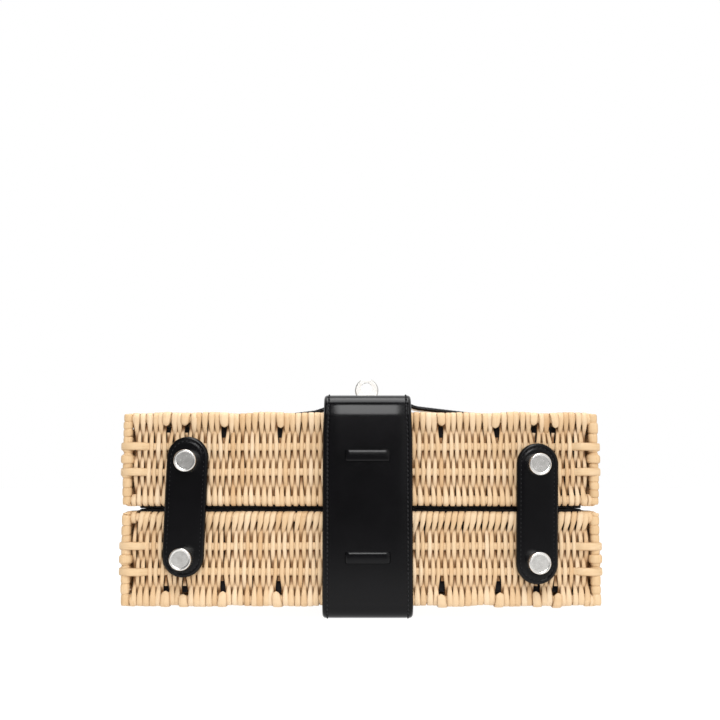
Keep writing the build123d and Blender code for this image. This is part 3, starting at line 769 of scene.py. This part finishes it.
def border_corner_wraps(tray):
    """Short wraps that carry both borders round the corners."""
    bundle = Bundle()
    step = 0.28
    reach = border_core + strand_thick
    angle = np.linspace(0, 2 * np.pi, 14, endpoint=False)
    loop, outs = corner_loop(tray.x, tray.y, corner_wrap_round, 2600)
    for level in (0, 3):
        run = 0.0
        for index in range(len(loop)):
            at_corner = np.min(np.abs(loop[index]) - (tray.x, tray.y)) > corner_wrap_from
            run += step
            if not at_corner or run < corner_wrap_pitch:
                continue
            run = 0.0
            out = np.array([*outs[index], 0.0])
            ahead = np.cross(UP, out)
            path = (
                np.array([*loop[index], tray.levels[level]])
                + np.outer(np.cos(angle) * reach, out)
                + np.outer(np.sin(angle) * (reach + wrap_slack), UP)
            )
            outer = np.outer(np.cos(angle), out) + np.outer(np.sin(angle), UP)
            bundle.tube(
                path, ahead, outer, corner_wrap_width, strand_thick, strand_section,
                tone=some_tone(0.5, 0.18), closed=True,
            )
    return bundle.build(f"corner_wraps_{tray.name}", CANE)


def weave_face(tray):
    """The closed face: stakes from base to mouth, with cane woven across them."""
    bundle = Bundle()
    stakes = Bundle()
    level = tray.face_level()
    x = tray.high[0] - face_margin_x
    y = tray.high[1] - face_margin_y
    half = knob_places + hidden_knobs + plain_stakes
    places = np.array(sorted([0.0] + [sign * place for place in half for sign in (-1, 1)]))
    up = UP * tray.outward
    reach = rod_thick + strand_thick
    points = 30
    for place in places:
        path = np.column_stack([
            np.full(points, place) + dice.normal(0, 0.1, points),
            np.linspace(-y, y, points),
            np.full(points, level),
        ])
        stakes.tube(path, RIGHT, up, stake_half, rod_thick - 0.1, oval(8, 0.8), tone=dice.uniform(0.3, 0.7))
    ends = np.concatenate([[-x - stake_half], places, [x + stake_half]])
    rows = int(y // face_pitch)
    for k in range(-rows, rows + 1):
        along, height, width = [], [], []
        for cell in range(len(ends) - 1):
            sign = 1 if (cell + k) % 2 == 0 else -1
            for t in np.arange(0, 1, 1 / face_steps):
                wave = math.cos(math.pi * t)
                along.append(ends[cell] + (ends[cell + 1] - ends[cell]) * t)
                height.append(sign * math.copysign(abs(wave) ** 0.8, wave) * reach)
                widest = over_width if sign * wave > 0 else under_width
                width.append(mid_width + (widest - mid_width) * abs(wave))
        along = np.array(along)
        closing = eased(np.abs(along), x - 4.0, x + 1.0)
        height = np.array(height) * (1 - closing) - 1.2 * closing
        path = np.column_stack([
            along,
            k * face_pitch + dice.normal(0, 0.08) + np.zeros(len(along)),
            level + tray.outward * height,
        ])
        outer = facing(tangents(path), BACK, up, 3)
        half_width = np.array(width) * 1.04
        bundle.tube(path, BACK, outer, half_width, strand_thick, oval(6, 0.62), tone=some_tone(0.52, 0.20))
    return bundle.build(f"weave_{tray.name}_face", CANE), stakes.build(f"stakes_{tray.name}", ROD)


def stake_ends(tray):
    """The face's stakes end as flat tongues that come over the border and lie down on the wall."""
    bundle = Bundle()
    section = oval(8, 0.7)
    for wall_name, (wall, _) in walls(tray).items():
        for place in knob_places_along(wall_name):
            sway = dice.uniform(0.3, 0.9) * np.sign(dice.normal())
            drop = dice.uniform(2.8, 4.4)
            smooth = filleted(tongue_course + [(2.3, -drop)], tongue_bends, tongue_step)
            run = np.linspace(0, 1, len(smooth))
            along = place + dice.normal(0, 0.2) + sway * eased(run, 0.5, 1.0)
            level = tray.levels[0] + tray.drift(0, place * abs(wall[1][0]), place * abs(wall[1][1]))
            path = wall_points(wall, along, smooth[:, 0], level + tray.outward * smooth[:, 1])
            outer = facing(tangents(path), wall[1], wall[2] + UP * tray.outward, len(run) // 2)
            to_tip = (1 - run) * (len(smooth) - 1) * tongue_step
            tip = np.sqrt(np.clip(1 - (1 - np.clip(to_tip / tongue_tip, 0, 1)) ** 2, 0.03, 1))
            tail = 0.75 + 0.25 * eased(run, 0.0, 0.4) - 0.18 * eased(run, 0.65, 1.0)
            half_width = tongue_half * tip * tail * dice.uniform(0.90, 1.08)
            half_thick = tongue_thick * (0.45 + 0.55 * tip)
            bundle.tube(path, wall[1], outer, half_width, half_thick, section, tone=dice.uniform(0.35, 0.75))
    return bundle.build(f"stake_ends_{tray.name}", CANE)


trays = {
    "back_half": Tray("back", back_low, back_high, -1),
    "front_half": Tray("front", front_low, front_high, 1),
}

for body, tray in trays.items():
    made = [weave_wall(tray, name, wall, half) for name, (wall, half) in walls(tray).items()]
    made += [rods_and_borders(tray), corner_posts(tray), border_corner_wraps(tray), stake_ends(tray)]
    made += list(weave_face(tray))
    stand_for(tray.name + "_tray", "wicker", body, *made)


# ---------------------------------------------------------------- leather

edge_round = 0.45
groove_half = 0.45
groove_deep = 0.22
end_taper = 0.9
stitch_length = 1.5
stitch_pitch = 2.0


def strap_section(half_width, thickness, crown, groove_at):
    """A strap's section: a slightly crowned top with a stitch groove, round edges and a flat back."""
    edge = thickness * edge_round
    insets = list(edge * (1 - np.cos(np.linspace(0, math.pi / 2, 5)))) + [half_width * 0.4, half_width * 0.7]
    if groove_at:
        insets += list(groove_at + groove_half * np.linspace(-2, 2, 5))
    insets = np.unique(np.round(np.clip(insets, 0, half_width * 0.95), 3))
    half = half_width - insets
    x = np.concatenate([-half, [0.0], half[::-1]])
    top = crown * (1 - (x / half_width) ** 2)
    if groove_at:
        from_groove = np.abs(np.abs(x) - (half_width - groove_at))
        top = top - groove_deep * np.exp(-((from_groove / groove_half) ** 2))
    rounding = np.clip((np.abs(x) - (half_width - edge)) / edge, 0, 1)
    drop = edge * (1 - np.sqrt(np.clip(1 - rounding ** 2, 0, 1)))
    upper = np.column_stack([x, top - drop])
    lower = np.column_stack([x[::-1], -thickness + drop[::-1]])
    return np.concatenate([upper, lower[1:-1]])


def strap(node, path, across, outward, half_width, thickness, crown=0.0, groove=0.0):
    """A strap whose outer face follows path: the piece, and the way off its face at each point.

    across is its width direction, and outward points off its face.
    """
    way = tangents(path)
    middle = len(path) // 2
    face = facing(way, across, outward, middle)
    half_width = np.broadcast_to(np.asarray(half_width, float), (len(path),))
    widest = float(half_width.max())
    section = strap_section(widest, thickness, crown, groove)
    run = run_along(path)
    ends = np.minimum(run, run[-1] - run)
    pinch = np.sqrt(np.clip(1 - (1 - np.clip(ends / end_taper, 0, 1)) ** 2, 0, 1))
    ring_x = section[:, 0] * (half_width[:, None] / widest)
    ring_h = (section[:, 1] + thickness / 2) * (0.25 + 0.75 * pinch[:, None]) - thickness / 2
    points = path[:, None, :] + across * ring_x[:, :, None] + face[:, None, :] * ring_h[:, :, None]
    turned = np.dot(np.cross(across, face[middle]), way[middle]) > 0
    bundle = Bundle()
    bundle.skin(points, ring_x / widest, run[:, None], turned)
    return bundle.build(node + "_leather", LEATHER), face


def stitch_run(bundle, path, face, side_way, offset, radius=0.34, sink=0.05, slant=0.18):
    """A row of stitches beside a path, each a short rounded thread that dips into the leather."""
    path = path + side_way * offset
    run = run_along(path)
    section = oval(6)
    t = np.linspace(0, 1, 6)
    arch = np.sin(np.pi * t)
    rise = (radius * 1.05) * arch ** 0.6 - radius * 0.75 - sink
    thick = radius * (0.55 + 0.45 * arch)
    for start in np.arange(1.6, run[-1] - 2.0, stitch_pitch):
        places = start + stitch_length * t
        up = points_at(places, run, face)
        at = points_at(places, run, path) + up * rise[:, None] + np.outer(slant * (t - 0.5), side_way)
        way = tangents(at)
        side = unit(np.cross(way, up))
        bundle.tube(at, side, np.cross(side, way), thick, thick, section)


def bridge(x, inner, reach, foot, top, radii):
    """A level course that lies at foot, steps out to top between its inner edges, and comes back."""
    half = [(x - reach, foot), (x - inner, foot), (x - inner, top)]
    return filleted(half + [(2 * x - a, b) for a, b in half[::-1]], radii, 0.5)


# base band
band_x = (band_low[0] + band_high[0]) / 2
band_half = (band_high[0] - band_low[0]) / 2
band_thick = 3.6
band_taper = 0.5
band_end = 4.6
crest_back = 21.6
slope_run = 23.8
slope_drop = 3.4
bend_radius = 9.5
under_radius = 6.8
stitch_inset = 2.3

outer_y = band_low[1]
crest_z = band_high[2]
band_course = filleted(
    [
        (band_end, crest_z - slope_drop),
        (outer_y + crest_back + slope_run, crest_z - slope_drop),
        (outer_y + crest_back, crest_z),
        (outer_y, crest_z),
        (outer_y, 0.0),
        (band_high[1], 0.0),
    ],
    [44.0, 40.0, bend_radius, under_radius],
    0.85,
)
band_path = np.column_stack([np.full(len(band_course), band_x), band_course])
taper = band_taper * eased(band_path[:, 2], 82.0, 94.0) * (band_path[:, 1] < 0)
band_piece, band_face = strap(
    "base_band", band_path, RIGHT, -BACK, band_half - taper, band_thick, groove=stitch_inset
)
band_thread = Bundle()
off_floor = (band_path[:, 2] > 1.0) | (band_path[:, 1] < outer_y + 8.0)
for sign in (-1, 1):
    edge = (band_path - np.outer(taper, RIGHT) * sign)[off_floor]
    offset = sign * (band_half - stitch_inset)
    stitch_run(band_thread, edge, band_face[off_floor], RIGHT, offset, radius=0.42)


def bend_for(node, *pieces):
    """Puts leather pieces in the place of a CAD node, with their placement baked into their meshes."""
    for piece in pieces:
        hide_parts(node)
        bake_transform(piece)


bend_for("base_band", band_piece, band_thread.build("base_band_stitches", THREAD))


# laces
def lace(node, body):
    """A flat lace that comes out of one slot, crosses the band and goes down the other."""
    low, high = cad(node)
    inner = 10.25
    under = 7.0
    thick = 1.35
    half_width = 2.62
    course = bridge(band_x, inner, inner + under, high[1] - 0.8, outer_y - thick, [1.5, 1.7, 1.7, 1.5])
    path = np.column_stack([course, np.full(len(course), (low[2] + high[2]) / 2)])
    piece, _ = strap(node, path, UP, -BACK, half_width, thick, crown=0.12)
    stand_for(node, "black_leather", body, piece)


lace("lower_lace", "back_half")
lace("upper_lace", "front_half")


# hinge tabs
def hinge_tab(side):
    """A round-ended leather tab, stitched round its edge, at the hinge."""
    node = "hinge_tab_" + side
    low, high = cad(node)
    back_centre, front_centre = [sum(cad(f"foot_{half}_{side}")) / 2 for half in ("back", "front")]
    up = unit((front_centre - back_centre) * (RIGHT + UP))
    across = np.cross(BACK, up)
    across = across * np.sign(across[0])
    centre = np.array([(low[0] + high[0]) / 2, low[1], (low[2] + high[2]) / 2])
    thick = high[1] - low[1]
    radius = 9.5
    seam = 2.0
    groove_depth = 0.16
    edge = 1.1
    straight = (high[2] - low[2]) / 2 - radius
    cap = radius * np.cos(np.linspace(0.02, 1, 22) * math.pi / 2)
    v = np.concatenate([-straight - cap, np.linspace(-straight, straight, 70)[1:-1], straight + cap[::-1]])
    past = np.clip(np.abs(v) - straight, 0, radius)
    half = np.sqrt(np.clip(radius ** 2 - past ** 2, 0.02, None))
    columns = 26
    u = np.concatenate([np.linspace(-1, 1, columns), np.linspace(1, -1, columns)[1:-1]])
    top = np.arange(len(u)) < columns
    points = []
    for here, beyond, wide in zip(v, past, half):
        inset = radius - np.hypot(u * wide, beyond)
        rounding = edge - np.sqrt(np.clip(edge ** 2 - (edge - np.clip(inset, 0, edge)) ** 2, 0, None))
        groove = groove_depth * np.exp(-(((inset - seam) / 0.4) ** 2))
        depth = np.where(top, rounding + groove, thick - rounding)
        points.append(centre + np.outer(u * wide, across) + up * here + np.outer(depth, BACK))
    bundle = Bundle()
    bundle.skin(np.array(points), u, v[:, None])
    angles = np.linspace(0, math.pi, 25)
    arc = np.column_stack([np.cos(angles), np.sin(angles)]) * (radius - seam) + (0.0, straight)
    outline = np.concatenate([arc, -arc, arc[:1]])
    course = filleted(outline, [0.01] * (len(outline) - 2), 0.5)
    path = centre + np.outer(course[:, 0], across) + np.outer(course[:, 1], up) + BACK * groove_depth
    thread = Bundle()
    stitch_run(thread, path, np.tile(-BACK, (len(path), 1)), across, 0.0, radius=0.22, sink=0.1, slant=0.0)
    leather = bundle.build(node + "_leather", LEATHER)
    bend_for(node, leather, thread.build(node + "_stitches", THREAD))


hinge_tab("left")
hinge_tab("right")


# side straps
def side_strap(side, sign, fall, breaks, sag):
    """A narrow strap from the lock over the front face and down the side wall.

    It leaves the lock level, breaks downwards soon after, and comes down on the face at fall.
    """
    node = "side_strap_" + side
    low = cad(node)[0]
    lock_top = cad("strap_plate_" + side)[0][2]
    thick = 2.1
    proud = thick + 0.4
    half_width = 6.0
    tip = 5.0
    seam = 1.7
    hidden_start = 31.5
    face = front_high[2] + proud
    wall = front_high[0] + proud
    lift_start = band_x - sign * 13.9
    lift_end = band_x + sign * 17.0
    course = filleted(
        [
            (lift_start, lock_top),
            (lift_end, lock_top),
            (lift_end + sign * breaks, face + sag * (lock_top - face)),
            (lift_end + sign * fall, face),
            (sign * wall, face),
            (sign * wall, low[2]),
        ],
        [7.0, 14.0, 32.0, 5.0],
        1.0,
    )
    path = np.column_stack([course[:, 0], np.zeros(len(course)), course[:, 1]])
    from_start = np.linalg.norm(path - path[0], axis=1)
    from_end = np.linalg.norm(path - path[-1], axis=1)
    rounded = np.sqrt(np.clip(half_width ** 2 - (tip - from_end) ** 2 * 1.3, 1.0, half_width ** 2))
    half = np.where(from_end < tip, rounded, half_width)
    piece, faces = strap(node, path, BACK, UP, half, thick, groove=seam)
    thread = Bundle()
    clear = (from_start > hidden_start) & (from_end > tip + 1.0)
    for edge in (-1, 1):
        offset = edge * (half_width - seam)
        stitch_run(thread, path[clear], faces[clear], BACK, offset, radius=0.2, sink=0.12)
    stand_for(node, "black_leather", "front_half", piece, thread.build(node + "_stitches", THREAD))


side_strap("left", -1, 24.0, 9.5, 0.36)
side_strap("right", 1, 42.0, 7.5, 0.5)


# closing tongue and keeper
def closing_tongue():
    """The tongue that bends over the mouth wall and narrows to its tip."""
    low, high = cad("closing_tongue")
    thick = 3.6
    bend = 6.4
    narrowing = 5.0
    course = filleted([(low[1], high[2]), (high[1], high[2]), (high[1], low[2])], [bend], 0.8)
    path = np.column_stack([np.full(len(course), (low[0] + high[0]) / 2), course])
    full = (high[0] - low[0]) / 2
    tip = 8.0
    from_end = np.linalg.norm(path - path[-1], axis=1)
    past = np.clip((tip - from_end) / tip, 0, 1)
    half = full - narrowing * (1 - np.sqrt(1 - past ** 2))
    piece, faces = strap("closing_tongue", path, RIGHT, UP, half, thick, groove=stitch_inset)
    thread = Bundle()
    clear = from_end > tip
    for edge in (-1, 1):
        stitch_run(thread, path[clear], faces[clear], RIGHT, edge * (full - stitch_inset))
    stitches = thread.build("closing_tongue_stitches", THREAD)
    stand_for("closing_tongue", "black_leather", "front_half", piece, stitches)


def keeper():
    """The leather loop that the tongue tucks into."""
    low, high = cad("keeper")
    thick = 2.2
    foot = 7.5
    reach = (high[0] - low[0]) / 2
    x = (low[0] + high[0]) / 2
    course = bridge(x, reach - foot, reach, low[1] + thick, high[1], [0.8, 3.0, 3.0, 0.8])
    path = np.column_stack([course, np.full(len(course), (low[2] + high[2]) / 2)])
    piece, _ = strap("keeper", path, UP, BACK, (high[2] - low[2]) / 2, thick, crown=0.1)
    stand_for("keeper", "black_leather", "back_half", piece)


closing_tongue()
keeper()

# handle: its legs, its grip, and how it rests
leg_apart = 40.0
leg_start = 13.5
leg_end = 31.0
grip_half = 28.0
grip_reach = 47.5
grip_rest = 5.3
grip_radius = 4.9
grip_corner = 14.0
flat_half = 5.4
flat_thick = 2.5
eye_at = 12.0
eye_radius = 3.5


def handle():
    """The rolled handle with its two flat ends, lying out behind the bag."""
    angle = math.asin((swing[2] - grip_rest) / grip_reach)
    reach_way = BACK * math.cos(angle) - UP * math.sin(angle)
    up = BACK * math.sin(angle) + UP * math.cos(angle)

    def place(points):
        """Points across and along the handle, from the middle of its hinge line."""
        return swing + np.outer(points[:, 0], RIGHT) + np.outer(points[:, 1], reach_way)

    half = [(leg_apart, leg_start), (leg_apart, leg_end), (grip_half, grip_reach)]
    path = place(filleted([(-x, y) for x, y in half] + half[::-1], [grip_corner] * 4, 0.9))
    run = run_along(path)
    rolled = eased(np.minimum(run, run[-1] - run), 3.0, 13.0)
    side = np.cross(tangents(path), up)
    wide = flat_half * (1 - rolled) + grip_radius * rolled
    thick = flat_thick * (1 - rolled) + grip_radius * rolled
    bundle = Bundle()
    bundle.tube(path, side, up, wide, thick, oval(20))
    for sign in (-1, 1):
        eye = sign * leg_apart + np.linspace(-flat_half, flat_half, 5)
        line = place(np.column_stack([eye, np.full(5, eye_at)]))
        bundle.tube(line, reach_way, up, eye_radius, eye_radius, oval(20))
    thread = Bundle()
    seam = (run > 9.0) & (run < run[-1] - 9.0)
    inner = path - side * 3.4 + up * (thick * 0.73)[:, None]
    stitch_run(thread, inner[seam], unit(up - side[seam] * 0.9), RIGHT, 0.0, sink=-0.05)
    piece = bundle.build("handle_leather", LEATHER)
    stand_for("handle", "black_leather", "handle", piece, thread.build("handle_stitches", THREAD))


handle()


def chape(side):
    """A leather chape: a flat tail on the wall, rolled into an eye round the ring."""
    node = "handle_chape_" + side
    low, high = cad(node)
    thick = 1.9
    proud = 2.4
    eye = 3.6
    tail_gap = 4.4
    turn = np.radians(np.linspace(-118, 215, 40))
    tail = np.column_stack([np.full(14, low[1] + proud), np.linspace(low[2], swing[2] - tail_gap, 14)])
    roll = np.column_stack([swing[1] + eye * np.cos(turn), swing[2] + eye * np.sin(turn)])
    course = np.concatenate([tail, roll])
    path = np.column_stack([np.full(len(course), (low[0] + high[0]) / 2), course])
    piece, _ = strap(node, path, RIGHT, BACK, (high[0] - low[0]) / 2, thick, crown=0.05)
    stand_for(node, "black_leather", "back_half", piece)


chape("left")
chape("right")


# ---------------------------------------------------------------- linings


def lining(tray, body):
    """The cloth lining: a soft-cornered box with slightly puckered walls and a rolled lip."""
    low, high = cad(tray.name + "_lining")
    mouth, floor_level = (low[2], high[2]) if tray.outward > 0 else (high[2], low[2])
    deep = abs(floor_level - mouth)
    inwards = np.sign(floor_level - mouth)
    cloth = 1.0
    corner = 4.0
    cove_radius = 2.5
    count = 240
    inside = deep - cloth
    shape = [(d, deep) for d in (12.0, 6.0, 1.2)] + [(0.35, deep - 0.35)]
    shape += [(0.0, d) for d in np.linspace(deep - 1.2, 0.8, 6)]
    shape += [(0.5 - 0.5 * math.cos(a), 0.5 - 0.5 * math.sin(a)) for a in np.linspace(0, math.pi, 7)]
    shape += [(cloth, d) for d in np.linspace(1.2, inside - cove_radius, 14)]
    shape += [
        (cloth + cove_radius * (1 - math.cos(a)), inside - cove_radius * (1 - math.sin(a)))
        for a in np.linspace(0.2, math.pi / 2, 7)
    ]
    shape += [(d, inside) for d in (5.0, 8.0, 12.0)]
    pucker = np.interp(np.arange(count), np.linspace(0, count, 70), dice.normal(0, 0.14, 70))
    points = np.zeros((len(shape), count, 3))
    for ring, (inset, depth) in zip(points, shape):
        loop, outs = corner_loop(high[0] - inset, high[1] - inset, max(corner - inset, 0.7), count)
        if 0.5 < inset < 2.0:
            slack = math.sin(math.pi * min(1.0, depth / deep)) * pucker
            loop = loop - outs * slack[:, None]
        ring[:, :2] = loop
        ring[:, 2] = mouth + inwards * depth
    bundle = Bundle()
    bundle.skin(points, 0.0, 0.0, turned=tray.outward < 0)
    piece = bundle.build(tray.name + "_lining_cloth", CLOTH)
    stand_for(tray.name + "_lining", "lining_cloth", body, piece)


for body, tray in trays.items():
    lining(tray, body)


# ---------------------------------------------------------------- metal


def turned_foot(node, body):
    """A turned foot: a straight barrel with a rounded bright rim and a shallow dish in its end."""
    low, high = cad(node)
    centre = (low + high) / 2
    reach = (high[0] - low[0]) / 2
    tall = 8.5
    profile = np.array([
        (0.0, 0.16), (3.80, 0.15), (4.10, 0.10), (4.30, 0.01), (4.45, 0.0), (4.65, 0.05),
        (4.85, 0.18), (4.97, 0.42), (reach, 0.75), (reach, 7.9), (reach - 0.12, tall),
        (2.2, tall), (1.8, tall + 0.1), (1.8, high[1] - low[1]),
    ])
    fine = []
    for here, there in zip(profile, profile[1:]):
        fine += [here, here * 0.95 + there * 0.05, here * 0.05 + there * 0.95]
    radius, along = np.array(fine + [profile[-1]]).T
    path = np.outer(along, BACK) + (centre[0], low[1], centre[2])
    radius = np.maximum(radius, 0.01)
    bundle = Bundle()
    bundle.tube(path, RIGHT, UP, radius, radius, oval(72))
    stand_for(node, "polished_nickel", body, bundle.build(node + "_turned", NICKEL))


for half in ("back", "front"):
    for side in ("left", "right"):
        turned_foot(f"foot_{half}_{side}", half + "_half")


satin_nodes = (
    "foot_nuts_back", "foot_nuts_front", "lock_backplate", "knob_retainer", "lock_plate", "turn_knob",
)
for name, node in frame["nodes"].items():
    if node.hide_render:
        continue
    finish = SATIN if name in satin_nodes else NICKEL
    for slot in node.material_slots:
        slot.material = finish

# ---------------------------------------------------------------- studio

floor_mesh = bpy.data.meshes.new("studio_floor")
span = 30.0
floor_corners = [(-span, -span, 0), (span, -span, 0), (span, span, 0), (-span, span, 0)]
floor_mesh.from_pydata(floor_corners, [], [(0, 1, 2, 3)])
floor = bpy.data.objects.new("studio_floor", floor_mesh)
floor_mesh.materials.append(floor_finish("pale_floor"))
bpy.context.scene.collection.objects.link(floor)
floor.location.z = -0.0002

world = bpy.data.worlds.new("studio")
bpy.context.scene.world = world
world.use_nodes = True
sky = Nodes(world.node_tree)
towards_right = sky.node("SeparateXYZ", Vector=sky.node("TexCoord"))
towards_back = sky.node("SeparateXYZ", output=1, Vector=sky.node("TexCoord"))
front_wall = sky.ramp(
    (towards_right * 0.5 + 0.5).clamp(), [
        (0.415, (0.25, 0.25, 0.255)), (0.45, (0.02, 0.02, 0.022)),
        (0.55, (0.02, 0.02, 0.022)), (0.585, (0.92, 0.92, 0.92)),
    ]
)
behind = ((towards_back + 0.05) * 3.2).clamp()
sky_colour = sky.blend(behind, front_wall, (1.0, 1.0, 1.0))
plug(world.node_tree, world.node_tree.nodes["Background"].inputs["Color"], sky_colour)


def softbox(name, place, target, width, height, radiance):
    """A soft lamp of a given width, height and brightness at a place, turned towards a target."""
    lamp = bpy.data.lights.new(name, "AREA")
    lamp.shape = "RECTANGLE"
    lamp.size = width
    lamp.size_y = height
    lamp.energy = radiance * math.pi * width * height
    holder = bpy.data.objects.new(name, lamp)
    holder.location = place
    holder.rotation_euler = (Vector(target) - Vector(place)).to_track_quat("-Z", "Y").to_euler()
    bpy.context.scene.collection.objects.link(holder)


bag_middle = (0.0, 0.0, 0.05)
softbox("front_box", (0.0, -1.15, 0.82), bag_middle, 0.30, 1.25, 10.6)
softbox("top_box", (0.0, 0.10, 1.45), bag_middle, 0.85, 0.85, 5.2)

camera_data = bpy.data.cameras.new("camera")
camera = bpy.data.objects.new("camera", camera_data)
bpy.context.scene.collection.objects.link(camera)
camera_side = -0.27
camera_gap = 557.9
camera_height = 59.25
camera_pitch = 5.946
camera_data.sensor_width = 36.0
camera_data.lens = 60.78
camera.location = (camera_side * MM, (back_low[1] - camera_gap) * MM, camera_height * MM)
camera.rotation_euler = (math.radians(90 + camera_pitch), 0, 0)
camera_data.clip_start = 0.01
camera_data.clip_end = 100.0
bpy.context.scene.camera = camera
bpy.context.scene.view_settings.view_transform = "Standard"
